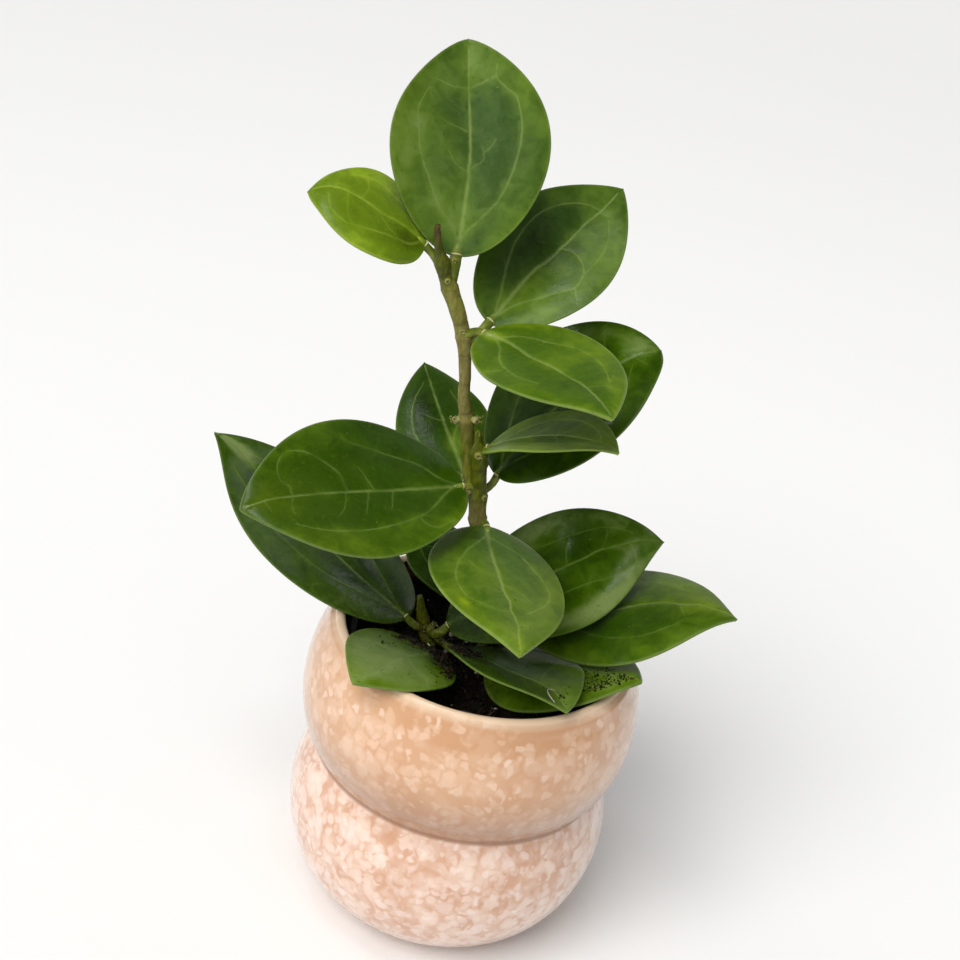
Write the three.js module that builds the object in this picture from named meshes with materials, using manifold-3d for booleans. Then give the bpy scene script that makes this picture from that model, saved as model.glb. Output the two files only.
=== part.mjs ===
// Hoya in its pot: a glazed two-bulge pot, a plastic grow pot inside it, potting soil,
// two stems and sixteen thick leaves. Millimetres, +Z up.
// Origin: middle of the pot's flat foot, on the surface it stands on. -Y is the front.
import * as THREE from 'three';
import { mergeVertices } from 'three/addons/utils/BufferGeometryUtils.js';
import Module from 'manifold-3d';

const wasm = await Module();
wasm.setup();

// Glazed pot: two stacked bulges, each an ellipse turned round the pot's axis
const POT_HEIGHT = 121;
const POT_WALL = 4;
const POT_FLOOR = 6;
const LOWER = { ring: 28, z: 41, halfWidth: 35.5, up: 43.8, down: 43.8 };
const UPPER = { ring: 44, z: 91.5, halfWidth: 21, up: 37.4, down: 31.7 };
const CREASE_Z = 66.5;
const LIP_ARC = [20, 160];
const POT_SIDES = 48;

// Grow pot: thin tapered plastic with a rolled rim
const GROW_TOP_Z = 113;
const GROW_RIM_RADIUS = 51;
const GROW_RIM_BAND = 7;
const GROW_TOP_RADIUS = 49.4;
const GROW_FOOT_RADIUS = 37;
const GROW_WALL = 1.2;
const GROW_BEVEL = 2;
const GROW_RIM_BEVEL = 0.6;
const GROW_SIDES = 40;
const DRAIN_HOLES = 6;
const DRAIN_RADIUS = 4;
const DRAIN_RING = 26;

// Soil
const SOIL_Z = 105;
const SOIL_RELIEF = 1.2;
const SOIL_EDGE_DROP = 3;

// Clearance kept between pieces that touch
const GAP = 0.3;

// Leaves
const LEAF_THICK = 1.5;
const LEAF_EDGE_THICK = 0.8;
const LEAF_STEPS_ALONG = 12;
const LEAF_STEPS_ACROSS = 4;
const HOOK_START = 0.78;
const BASE_HALF_WIDTH = 1.3;
const TIP_HALF_WIDTH = 0.5;

const radians = THREE.MathUtils.degToRad;
const vec = (x, y, z) => new THREE.Vector3(x, y, z);

// Solids

function welded(geometry) {
  const bare = geometry.index ? geometry.toNonIndexed() : geometry.clone();
  bare.deleteAttribute('normal');
  bare.deleteAttribute('uv');
  return mergeVertices(bare, 1e-4);
}

function solid(geometry) {
  const g = welded(geometry);
  return new wasm.Manifold(new wasm.Mesh({
    numProp: 3,
    vertProperties: new Float32Array(g.attributes.position.array),
    triVerts: new Uint32Array(g.index.array),
  }));
}

function largestBody(body) {
  const bodies = body.decompose();
  return bodies.reduce((a, b) => (b.volume() > a.volume() ? b : a));
}

function toGeometry(body) {
  const mesh = body.getMesh();
  const geometry = new THREE.BufferGeometry();
  geometry.setAttribute('position', new THREE.BufferAttribute(mesh.vertProperties, 3));
  geometry.setIndex(new THREE.BufferAttribute(mesh.triVerts, 1));
  geometry.computeVertexNormals();
  return geometry;
}

function surface(color, roughness) {
  return new THREE.MeshStandardMaterial({ color, roughness, metalness: 0 });
}

function named(name, geometry, material) {
  const mesh = new THREE.Mesh(geometry, material);
  mesh.name = name;
  return mesh;
}

// A profile of [radius, z] pairs turned round the Z axis
function turned(profile, sides) {
  const points = profile.map(([r, z]) => new THREE.Vector2(r, z));
  return new THREE.LatheGeometry(points, sides).rotateX(Math.PI / 2);
}

// Radius of one bulge at height z, drawn in by inset
function bulgeRadius(bulge, z, inset = 0) {
  const half = (z > bulge.z ? bulge.up : bulge.down) - inset;
  const k = Math.min(1, Math.abs(z - bulge.z) / half);
  return bulge.ring + (bulge.halfWidth - inset) * Math.sqrt(1 - k * k);
}

function potRadius(z, inset = 0) {
  return bulgeRadius(z < CREASE_Z ? LOWER : UPPER, z, inset);
}

function between(from, to, steps) {
  return Array.from({ length: steps + 1 }, (_, i) => from + (to - from) * i / steps);
}

// Pots and soil

function glazedPot() {
  const lipZ = POT_HEIGHT - POT_WALL / 2;
  const lipRing = potRadius(POT_HEIGHT) - POT_WALL / 2;
  const outside = [
    ...between(0, CREASE_Z, 8),
    ...between(CREASE_Z, lipZ, 8).slice(1),
  ].map((z) => [potRadius(z), z]);
  const lip = between(...LIP_ARC, 4).map((degrees) => [
    lipRing + POT_WALL / 2 * Math.cos(radians(degrees)),
    lipZ + POT_WALL / 2 * Math.sin(radians(degrees)),
  ]);
  const inside = [
    ...between(lipZ, CREASE_Z, 5),
    ...between(CREASE_Z, POT_FLOOR, 4).slice(1),
  ].map((z) => [potRadius(z, POT_WALL), z]);
  const profile = [[0, 0], ...outside, ...lip, ...inside, [0, POT_FLOOR]];
  return toGeometry(solid(turned(profile, POT_SIDES)));
}

function growRadius(z) {
  const foot = POT_FLOOR + GAP;
  const k = (z - foot) / (GROW_TOP_Z - foot);
  return GROW_FOOT_RADIUS + (GROW_TOP_RADIUS - GROW_FOOT_RADIUS) * k;
}

function growPot() {
  const foot = POT_FLOOR + GAP;
  const band = GROW_TOP_Z - GROW_RIM_BAND;
  const outside = [
    [0, foot],
    [GROW_FOOT_RADIUS - GROW_BEVEL, foot],
    [GROW_FOOT_RADIUS, foot + GROW_BEVEL],
  ];
  const rim = [
    [growRadius(band), band],
    [GROW_RIM_RADIUS, band + 1],
    [GROW_RIM_RADIUS, GROW_TOP_Z - GROW_RIM_BEVEL],
    [GROW_RIM_RADIUS - GROW_RIM_BEVEL, GROW_TOP_Z],
    [GROW_TOP_RADIUS - GROW_WALL, GROW_TOP_Z],
  ];
  const floor = foot + GROW_WALL;
  const inside = [[growRadius(floor) - GROW_WALL, floor], [0, floor]];
  let pot = solid(turned([...outside, ...rim, ...inside], GROW_SIDES));
  for (let i = 0; i < DRAIN_HOLES; i += 1) {
    const angle = 2 * Math.PI * i / DRAIN_HOLES;
    const hole = new THREE.CylinderGeometry(DRAIN_RADIUS, DRAIN_RADIUS, 8 * GROW_WALL, 12)
      .rotateX(Math.PI / 2)
      .translate(DRAIN_RING * Math.cos(angle), DRAIN_RING * Math.sin(angle), foot);
    pot = pot.subtract(solid(hole));
  }
  return toGeometry(pot);
}

// Height of the soil's lumpy top over a point
function soilHeight(x, y) {
  const broad = Math.sin(0.21 * x + 1.3) * Math.cos(0.17 * y - 0.6);
  const fine = 0.5 * Math.sin(0.43 * y + 0.31 * x);
  const edge = Math.hypot(x, y) / GROW_TOP_RADIUS;
  return SOIL_Z + SOIL_RELIEF * (broad + fine) - SOIL_EDGE_DROP * edge ** 4;
}

function soilBody(stemsInSoil) {
  const bottom = POT_FLOOR + GAP + GROW_WALL + GAP;
  const fit = GROW_WALL + GAP;
  const rings = between(growRadius(SOIL_Z - 2 * SOIL_EDGE_DROP) - fit, 0, 5);
  const profile = [
    [0, bottom],
    [growRadius(bottom) - fit, bottom],
    ...rings.map((r) => [r, SOIL_Z]),
  ];
  const geometry = turned(profile, GROW_SIDES);
  const position = geometry.attributes.position;
  for (let i = 0; i < position.count; i += 1) {
    if (position.getZ(i) > SOIL_Z - 1) {
      position.setZ(i, soilHeight(position.getX(i), position.getY(i)));
    }
  }
  let soil = solid(geometry);
  stemsInSoil.forEach((stem) => { soil = soil.subtract(stem); });
  return toGeometry(soil);
}

// Stems: a turned rod with swollen nodes, bent along a curve

function rod(curve, radiusAt, steps, sides, grow) {
  const frames = curve.computeFrenetFrames(steps, false);
  const profile = between(0, 1, steps).map((k) => new THREE.Vector2(radiusAt(k) + grow, k));
  const closed = [new THREE.Vector2(0, 0), ...profile, new THREE.Vector2(0, 1)];
  const geometry = new THREE.LatheGeometry(closed, sides);
  const position = geometry.attributes.position;
  for (let i = 0; i < position.count; i += 1) {
    const k = position.getY(i);
    const step = Math.round(k * steps);
    const p = curve.getPointAt(k)
      .addScaledVector(frames.normals[step], -position.getX(i))
      .addScaledVector(frames.binormals[step], position.getZ(i));
    position.setXYZ(i, p.x, p.y, p.z);
  }
  return solid(geometry);
}

// Leaf scars and old stalk stumps, as small balls part sunk in the stem
function knob(place, radius, grow) {
  const ball = new THREE.IcosahedronGeometry(radius + grow, grow > 0 ? 1 : 0);
  return solid(ball.translate(place.x, place.y, place.z));
}

// Stems by hand-picked points [x, y, z, radius]; nodes are the points where they swell
const STEMS = {
  // Rooted trunk up to the fork, and on to the short branch that ends in a bud
  trunk: {
    points: [[4, 17, 76, 2.6], [4, 16.5, 105, 2.9], [1, 13, 122, 3], [-5, 7, 143, 3],
      [-11.5, 0, 166.5, 3.1], [-13.2, -1, 176, 3.3], [-14.5, -2.5, 186, 2.4], [-16, -3, 195, 2.4],
      [-17.5, -3, 200, 1.8], [-17.6, -3, 203, 0.8]],
    nodes: [2, 4, 5, 7],
    steps: 28,
  },
  // Long branch that carries the upper leaves
  branch: {
    points: [[-13, 0.5, 171, 2.2], [-17.5, 3, 181, 2.3], [-20.5, 3.5, 193, 2.4], [-22.8, 3, 203, 2.6],
      [-25.3, 1.5, 212, 2.1], [-26.5, 1, 221, 2.1], [-29.4, 0, 234.5, 2.5], [-33.7, -1, 245, 2.8],
      [-37, -1, 251, 2.7], [-41.3, -2, 260, 2.4], [-43.3, -3.5, 265.5, 1.9], [-44.2, -5, 270, 1.2],
      [-44.6, -6, 273.5, 0.7]],
    nodes: [3, 6, 8, 9],
    steps: 36,
  },
  // Short rooted stub between the low leaves
  stub: {
    points: [[-18, 5, 82, 2.2], [-20, 6, 104, 2], [-21.7, 6, 109.5, 2.5], [-24, 6, 115.5, 2.3],
      [-25.3, 6, 120, 1.8], [-27, 6, 125.5, 1.1]],
    nodes: [2, 3],
    steps: 18,
  },
};

// Leaf scars and the stumps of old stalks, by place and radius
const SCARS = {
  trunk: [[-9.5, -1.5, 167.5, 1.4], [-11, -3.4, 177.5, 1.3], [-17.2, -3.2, 190, 1.1],
    [-15.5, -5, 196, 1.2]],
  branch: [[-26.2, 1.5, 203.5, 2], [-19.8, 1.5, 204.8, 1.5], [-34.3, -3.2, 248, 1.3],
    [-39.5, -3.8, 257.5, 1.3], [-42.3, -5.2, 265, 1.2], [-43.6, -6.2, 269, 0.9]],
  stub: [[-24, 4, 114.5, 1.5], [-26.5, 7, 119, 1]],
};
const NODE_SWELL = 0.35;
const NODE_LENGTH = 2.2;
const STEM_SIDES = 8;
const STALK_STEPS = 5;
const STALK_SIDES = 6;

// Length of the straight steps from the first point of a stem to point number last
function lengthTo(points, last) {
  let sum = 0;
  for (let i = 1; i <= last; i += 1) sum += points[i].place.distanceTo(points[i - 1].place);
  return sum;
}

function stemSolid(key, grow = 0) {
  const points = STEMS[key].points.map(([x, y, z, radius]) => ({ place: vec(x, y, z), radius }));
  const curve = new THREE.CatmullRomCurve3(points.map((point) => point.place));
  const length = curve.getLength();
  const last = points.length - 1;
  const reached = points.map((_, i) => lengthTo(points, i) / lengthTo(points, last));
  const radiusAt = (k) => {
    const i = Math.min(last - 1, Math.max(0, reached.findLastIndex((r) => r <= k)));
    const share = Math.min(1, (k - reached[i]) / (reached[i + 1] - reached[i]));
    const plain = THREE.MathUtils.lerp(points[i].radius, points[i + 1].radius, share);
    const away = STEMS[key].nodes.map((n) => (k - reached[n]) * length / NODE_LENGTH);
    return plain + NODE_SWELL * away.reduce((sum, distance) => sum + Math.exp(-(distance ** 2)), 0);
  };
  let body = rod(curve, radiusAt, STEMS[key].steps, STEM_SIDES, grow);
  SCARS[key].forEach(([x, y, z, radius]) => { body = body.add(knob(vec(x, y, z), radius, grow)); });
  if (grow > 0) body = body.add(knob(points[0].place, points[0].radius + grow, grow));
  return body;
}

// Leaves

// Share of the half width at t from the leaf's base to its tip
function leafOutline(t, belly, taper) {
  const k = Math.log(0.5) / Math.log(belly);
  return Math.max(0, Math.sin(Math.PI * t ** k)) ** (0.5 + (taper - 0.5) * t);
}

// Middle line and cross directions of a leaf, as frames from its base to its tip
function leafFrames(leaf) {
  const heading = radians(leaf.heading);
  const rise = radians(leaf.rise);
  const roll = radians(leaf.roll);
  const along = vec(Math.cos(rise) * Math.cos(heading), Math.cos(rise) * Math.sin(heading), Math.sin(rise));
  const level = vec(Math.sin(heading), -Math.cos(heading), 0);
  const upright = level.clone().cross(along);
  const side = level.clone().multiplyScalar(Math.cos(roll)).addScaledVector(upright, Math.sin(roll));
  const top = level.clone().multiplyScalar(-Math.sin(roll)).addScaledVector(upright, Math.cos(roll));
  const directionAt = (t) => {
    const hook = radians(leaf.hook) * Math.max(0, (t - HOOK_START) / (1 - HOOK_START)) ** 2;
    const pitch = radians(leaf.bend) * (0.5 - t) - hook;
    const yaw = radians(leaf.sweep) * (0.5 - t);
    return along.clone().multiplyScalar(Math.cos(pitch) * Math.cos(yaw))
      .addScaledVector(top, Math.sin(pitch))
      .addScaledVector(side, Math.sin(yaw) * Math.cos(pitch));
  };
  const step = leaf.length / LEAF_STEPS_ALONG;
  const middle = vec(...leaf.at);
  return between(0, 1, LEAF_STEPS_ALONG).map((t, i) => {
    if (i > 0) middle.addScaledVector(directionAt(t - 0.5 / LEAF_STEPS_ALONG), step);
    const forward = directionAt(t).normalize();
    const across = side.clone().addScaledVector(forward, -side.dot(forward)).normalize();
    const normal = across.clone().cross(forward);
    const twist = radians(leaf.twist) * (t - 0.5);
    return {
      t,
      middle: middle.clone(),
      forward,
      side: across.clone().multiplyScalar(Math.cos(twist)).addScaledVector(normal, Math.sin(twist)),
      normal: normal.clone().multiplyScalar(Math.cos(twist)).addScaledVector(across, -Math.sin(twist)),
    };
  });
}

// Thick curved blade: a grid on each face, split alike, with a rim between them
function bladeGeometry(leaf) {
  const across = LEAF_STEPS_ACROSS;
  const fold = radians(leaf.fold);
  const upper = [];
  const lower = [];
  leafFrames(leaf).forEach((frame) => {
    const share = leafOutline(frame.t, leaf.belly, leaf.taper);
    const least = frame.t > 0.5 ? TIP_HALF_WIDTH : BASE_HALF_WIDTH;
    const half = Math.max(least, leaf.width / 2 * share);
    between(-1, 1, across).forEach((v) => {
      const wave = leaf.wave * v * v * Math.sin(3 * Math.PI * frame.t + 2 * v + leaf.length);
      const lift = half * (Math.abs(v) * Math.sin(fold) + 0.5 * leaf.cup * v * v) + wave * share;
      const point = frame.middle.clone()
        .addScaledVector(frame.side, half * v * Math.cos(fold))
        .addScaledVector(frame.normal, lift);
      const thick = LEAF_EDGE_THICK + (LEAF_THICK - LEAF_EDGE_THICK) * (1 - v * v);
      upper.push(point.clone().addScaledVector(frame.normal, thick / 2));
      lower.push(point.clone().addScaledVector(frame.normal, -thick / 2));
    });
  });
  const columns = across + 1;
  const below = upper.length;
  const triangles = [];
  for (let i = 0; i < LEAF_STEPS_ALONG; i += 1) {
    for (let j = 0; j < across; j += 1) {
      const a = i * columns + j;
      const b = a + 1;
      const c = a + columns;
      const d = c + 1;
      triangles.push(a, b, d, a, d, c);
      triangles.push(a + below, d + below, b + below, a + below, c + below, d + below);
    }
  }
  const rim = [];
  for (let j = 0; j < across; j += 1) rim.push(j);
  for (let i = 0; i < LEAF_STEPS_ALONG; i += 1) rim.push(i * columns + across);
  for (let j = across; j > 0; j -= 1) rim.push(LEAF_STEPS_ALONG * columns + j);
  for (let i = LEAF_STEPS_ALONG; i > 0; i -= 1) rim.push(i * columns);
  rim.forEach((a, n) => {
    const b = rim[(n + 1) % rim.length];
    triangles.push(a, a + below, b + below, a, b + below, b);
  });
  const geometry = new THREE.BufferGeometry();
  geometry.setFromPoints([...upper, ...lower]);
  geometry.setIndex(triangles);
  return geometry;
}

// Stalk from the stem's middle to a little way inside the blade
function petioleSolid(leaf) {
  const [base, next] = leafFrames(leaf);
  const start = vec(...leaf.from);
  const lead = start.distanceTo(base.middle) * 0.4;
  const control = base.middle.clone().addScaledVector(base.forward, -lead);
  const end = base.middle.clone().lerp(next.middle, 0.9);
  const curve = new THREE.CatmullRomCurve3([start, control, base.middle, end]);
  const radiusAt = (k) => leaf.stalk * (k > 0.8 ? 0.75 : 1);
  return rod(curve, radiusAt, STALK_STEPS, STALK_SIDES, 0);
}

function leafGeometry(leaf, stems) {
  let body = solid(bladeGeometry(leaf)).add(petioleSolid(leaf));
  stems.forEach((stem) => { body = body.subtract(stem); });
  return toGeometry(largestBody(body));
}

// Each leaf: where its stalk leaves the stem, where its blade starts, its heading from +X
// towards +Y, its rise and roll, its size, and how it bends, folds, cups, hooks and twists
const DEFAULT_LEAF = {
  bend: 0, fold: 0, cup: 0, hook: 20, belly: 0.47, taper: 0.85, twist: 0, sweep: 0, wave: 0.4,
  stalk: 1.5,
};

const YOUNG = 0x8aa832;
const FRESH = 0x5f8f2c;
const MATURE = 0x3c6f22;
const DARK = 0x28541f;

const LEAVES = {
  leaf_top: {
    color: MATURE, from: [-37.5, -0.5, 252], at: [-37.3, 1.3, 262], heading: 109, rise: 62, roll: 10,
    length: 73, width: 55, bend: 6, fold: 16, cup: 0.25, hook: 6, belly: 0.49, taper: 0.74, twist: -6,
    sweep: 11,
  },
  leaf_young: {
    color: YOUNG, from: [-42, -2, 259.5], at: [-47.8, -3, 264.8], heading: 192, rise: 18, roll: 30,
    length: 44, width: 36, bend: 46, cup: -0.15, hook: 42, belly: 0.43, taper: 0.7, twist: 5, sweep: 5,
  },
  leaf_upper_right: {
    color: MATURE, from: [-29, 1, 232], at: [-22, 5, 240], heading: 51, rise: 37, roll: -25,
    length: 73, width: 46, fold: 12, cup: -0.05, hook: 9, taper: 0.85, sweep: -4,
  },
  leaf_light_right: {
    color: FRESH, from: [-29.5, -1, 236], at: [-23, -4, 239], heading: -50, rise: 3, roll: -15,
    length: 70, width: 42, fold: 3, cup: -0.1, hook: 30, belly: 0.45, taper: 0.82, twist: 6, sweep: -28,
  },
  leaf_back_right: {
    color: DARK, from: [-13, 0, 177], at: [-8, 4, 183.5], heading: 19, rise: 48, roll: -22,
    length: 76, width: 57, bend: 31, fold: 6, cup: -0.06, hook: 27, belly: 0.51, taper: 0.6, sweep: -24,
  },
  leaf_curled: {
    color: FRESH, from: [-16, -3, 195], at: [-13.3, -4.5, 197.3], heading: -27, rise: 23, roll: -8,
    length: 53, width: 35, bend: 36, fold: 9, hook: 28, belly: 0.46, taper: 0.86, sweep: -9,
  },
  leaf_back_left: {
    color: MATURE, from: [-14, 0, 176], at: [-18.5, 6, 177], heading: 116, rise: 19, roll: 25,
    length: 64, width: 36, bend: 10, fold: -4, cup: -0.2, hook: 10, belly: 0.44, taper: 0.86, twist: -8,
    sweep: -9,
  },
  leaf_big_left: {
    color: MATURE, from: [-14, -1.5, 178], at: [-18.8, -5, 181], heading: 214, rise: 0, roll: 25,
    length: 84, width: 58, fold: 6, hook: 24, belly: 0.47, taper: 0.81, twist: 12, sweep: 10,
  },
  leaf_front: {
    color: FRESH, from: [-11.5, 0, 166], at: [-8, -5.5, 167], heading: -74, rise: -4, roll: 7,
    length: 70, width: 49, cup: -0.18, hook: 33, belly: 0.43, taper: 0.87, twist: 8, sweep: 4,
  },
  leaf_far_left: {
    color: DARK, from: [-23.5, 6.5, 111], at: [-30, 0.5, 118], heading: 157, rise: 25, roll: 4,
    length: 106, width: 58, bend: -18, fold: 4, cup: -0.06, hook: 34, belly: 0.48, taper: 0.98, twist: -3,
    sweep: 4,
  },
  leaf_arched_right: {
    color: DARK, stalk: 1.9, from: [-21.5, 6, 112], at: [-14, -1, 119], heading: 14, rise: 33, roll: -21,
    length: 90, width: 54, bend: 19, cup: -0.15, hook: 46, belly: 0.49, taper: 0.93, twist: -23,
    sweep: -12,
  },
  leaf_far_right: {
    color: MATURE, from: [2.5, 15, 113], at: [14, 5, 123.5], heading: -12, rise: 24, roll: -12.5,
    length: 83, width: 55, bend: 17, fold: -4, cup: -0.22, hook: 35, belly: 0.5, taper: 0.96, twist: 18,
    sweep: -20,
  },
  leaf_rim_left: {
    color: MATURE, from: [-20.5, 5.5, 107], at: [-20, -8, 112.5], heading: 246, rise: 14, roll: 5,
    length: 55, width: 41, bend: 20, fold: 2, cup: -0.14, hook: 24, belly: 0.42, taper: 0.79, sweep: -9,
  },
  leaf_rim_centre: {
    color: MATURE, from: [-19, 7, 109.2], at: [-9, -4, 112], heading: -48, rise: 16, roll: 11,
    length: 65, width: 48, bend: 8, fold: 9, cup: 0.1, hook: 36, belly: 0.53, taper: 0.86, twist: -9,
    sweep: -8,
  },
  leaf_rim_right: {
    color: MATURE, from: [4, 15.5, 108], at: [5, 0, 111], heading: -29, rise: 20, roll: -10,
    length: 64, width: 50, bend: -8, fold: -3, cup: -0.25, hook: 22, belly: 0.4, taper: 0.76, twist: 10,
    sweep: -7,
  },
  leaf_low_back: {
    color: DARK, from: [1.5, 14, 117], at: [-4, 20, 118.5], heading: 125, rise: 12, roll: 0,
    length: 52, width: 38, bend: 8, cup: -0.1,
  },
};

const glaze = surface(0xe8bf9a, 0.25);
const plastic = surface(0x1e1f20, 0.55);
const earth = surface(0x17110d, 0.95);
const bark = surface(0x7d8453, 0.6);

const clearance = {
  trunk: stemSolid('trunk', GAP).add(stemSolid('branch', GAP)),
  stub: stemSolid('stub', GAP),
};

const plant = new THREE.Group();
plant.add(named('stem_main', toGeometry(stemSolid('trunk').add(stemSolid('branch'))), bark));
plant.add(named('stem_stub', toGeometry(stemSolid('stub')), bark));
Object.entries(LEAVES).forEach(([name, values]) => {
  const leaf = { ...DEFAULT_LEAF, ...values };
  const geometry = leafGeometry(leaf, Object.values(clearance));
  plant.add(named(name, geometry, surface(leaf.color, 0.4)));
});

const pots = new THREE.Group();
pots.add(named('ceramic_pot', glazedPot(), glaze));
pots.add(named('grow_pot', growPot(), plastic));
pots.add(named('soil', soilBody(Object.values(clearance)), earth));

const potted = new THREE.Group();
potted.add(pots, plant);

export default potted;
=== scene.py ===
import math

import bmesh
import bpy
import numpy as np
from mathutils import Matrix, Vector, noise
from mathutils.geometry import delaunay_2d_cdt


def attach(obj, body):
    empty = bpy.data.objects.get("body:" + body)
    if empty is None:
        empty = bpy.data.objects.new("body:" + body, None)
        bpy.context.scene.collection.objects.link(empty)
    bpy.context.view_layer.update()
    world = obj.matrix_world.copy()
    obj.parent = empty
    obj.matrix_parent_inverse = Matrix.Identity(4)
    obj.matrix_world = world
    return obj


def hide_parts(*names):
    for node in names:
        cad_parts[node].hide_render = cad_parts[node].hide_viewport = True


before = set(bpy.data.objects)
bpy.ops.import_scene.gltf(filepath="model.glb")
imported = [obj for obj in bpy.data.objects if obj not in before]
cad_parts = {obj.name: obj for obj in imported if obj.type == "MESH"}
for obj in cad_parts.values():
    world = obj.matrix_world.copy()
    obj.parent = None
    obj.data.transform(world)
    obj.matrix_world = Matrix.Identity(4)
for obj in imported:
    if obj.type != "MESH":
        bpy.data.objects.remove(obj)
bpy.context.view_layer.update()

MM = 0.001

# Camera and stage
CAMERA_AIM = Vector((-0.0137, 0, 0.1825))
CAMERA_DISTANCE = 0.5
CAMERA_ELEVATION = math.radians(26.8)
CAMERA_ROLL = math.radians(12.1)
CAMERA_LENS = 52.1
FLOOR_RADIUS = 30
WORLD_LEFT = 0.5
WORLD_RIGHT = 0.12
KEY_STRENGTH = 2.27
FILL_STRENGTH = 0.18
LIGHT_AIM = Vector((0, 0, 0.16))

# Pot, in millimetres, as in the solids
POT_HEIGHT = 121
POT_WALL = 4
POT_FLOOR = 6
LOWER = {"ring": 28, "z": 41, "half_width": 35.5, "up": 43.8, "down": 43.8}
UPPER = {"ring": 44, "z": 91.5, "half_width": 21, "up": 37.4, "down": 31.7}
CREASE_Z = 66.5
CREASE_SOFTNESS = 0.3
CREASE_REACH = 1.1
NECK_Z = 114.6
NECK_DEPTH = 0.45
NECK_REACH = 2.2
FOOT_EDGE_Z = 1.5

# Pot: sides of the turned wall, and how much of its radius it keeps to stay inside the solid's box
POT_SIDES = 192
POT_SHRINK = 0.9997

# Soil, in millimetres
SOIL_Z = 105
SOIL_RELIEF = 1.2
SOIL_EDGE_DROP = 3
SOIL_RADIUS = 47.1
SOIL_BOTTOM_RADIUS = 35.5
SOIL_BOTTOM_Z = 7.8
GROW_TOP_RADIUS = 49.4

# Leaves, in millimetres
LEAF_THICK = 1.5
LEAF_EDGE_THICK = 0.8
LEAF_WAVE = 0.4
LEAF_SWELL = 0.22
LEAF_PILLOW = 0.12
LEAST_HALF = 0.4
MIDRIB_GROOVE = 0.16
MIDRIB_KEEL = 0.3
VEIN_GROOVE = 0.05
VEIN_STEP = 1.3
VEIN_JITTER = 0.07
VEIN_MARGIN = 1.5
VEIN_CLEARANCE = 0.45
GRID_STEP = 1.9
EDGE_ROWS = (0.35, 0.9)
EDGE_LONGEST = 4
MERGED_UNDER = 0.02

# Leaves: counts and shares
LEAF_STEPS = 120
OUTLINE_STEPS = 84
GRID_REACH = 40
TRIANGLE_HEIGHT = 0.866
HOOK_START = 0.78
FOLD_SOFTNESS = 0.004
FOLD_LEVEL = 0.063


# Small tools

def unit(vectors):
    return vectors / np.linalg.norm(vectors, axis=-1, keepdims=True)


def rough(place, scale, seed=0):
    """Smooth noise from -1 to 1 at a place in millimetres; scale is the size of its lumps."""
    return noise.noise(Vector(place) / scale + Vector((seed * 7.3, seed * 3.1, seed * 5.7)))


def rough_all(places, scale, seed=0):
    return np.array([rough(place, scale, seed) for place in places])


def curve_through(points, steps):
    """Evenly spaced points on a smooth curve through points, bent as the solids' curves are."""
    points = np.array(points, float)
    ends = np.vstack([2 * points[0] - points[1], points, 2 * points[-1] - points[-2]])
    fine = []
    for p0, p1, p2, p3 in zip(ends, ends[1:], ends[2:], ends[3:]):
        g0, g1, g2 = (np.linalg.norm(b - a) ** 0.5 for a, b in ((p0, p1), (p1, p2), (p2, p3)))
        m1 = ((p1 - p0) / g0 - (p2 - p0) / (g0 + g1) + (p2 - p1) / g1) * g1
        m2 = ((p2 - p1) / g1 - (p3 - p1) / (g1 + g2) + (p3 - p2) / g2) * g1
        s = np.linspace(0, 1, 24, endpoint=False)[:, None]
        fine.append(
            p1 * (2 * s**3 - 3 * s**2 + 1) + m1 * (s**3 - 2 * s**2 + s)
            + p2 * (3 * s**2 - 2 * s**3) + m2 * (s**3 - s**2)
        )
    fine.append(points[-1:])
    fine = np.vstack(fine)
    reach = np.concatenate([[0], np.cumsum(np.linalg.norm(np.diff(fine, axis=0), axis=1))])
    even = np.linspace(0, reach[-1], steps + 1)
    return np.stack([np.interp(even, reach, fine[:, i]) for i in range(points.shape[1])], 1)


def placed(name, data):
    """A new object of the scene."""
    made = bpy.data.objects.new(name, data)
    bpy.context.scene.collection.objects.link(made)
    return made


class Build:
    """Vertices in millimetres, faces and point attributes of a mesh that is put together in parts."""

    def __init__(self, *attributes):
        self.points = []
        self.faces = []
        self.values = {name: [] for name in attributes}
        self.count = 0

    def add(self, points, faces, **values):
        points = np.asarray(points, float)
        self.faces += [tuple(i + self.count for i in face) for face in faces]
        self.points.append(points)
        self.count += len(points)
        for name, stored in self.values.items():
            stored.append(np.broadcast_to(values.get(name, 0.0), len(points)))

    def piece(self, name, material, replaces=()):
        mesh = bpy.data.meshes.new(name)
        mesh.from_pydata((np.vstack(self.points) * MM).tolist(), [], self.faces)
        for key, stored in self.values.items():
            attribute = mesh.attributes.new(key, "FLOAT", "POINT")
            attribute.data.foreach_set("value", np.concatenate(stored).astype(np.float32))
        mesh.shade_smooth()
        mesh.update()
        made = placed(name, mesh)
        made.data.materials.append(material)
        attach(made, "root")
        if replaces:
            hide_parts(*replaces)


def joined(rows):
    """Faces between closed rows of vertex numbers, each joined to the next."""
    faces = []
    for a, b in zip(rows, rows[1:]):
        for i in range(len(a)):
            j = (i + 1) % len(a)
            faces.append((a[i], a[j], b[j], b[i]))
    return faces


def numbered(count, sides):
    """Vertex numbers of count rows with as many points as there are sides."""
    return [range(i * sides, (i + 1) * sides) for i in range(count)]


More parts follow.
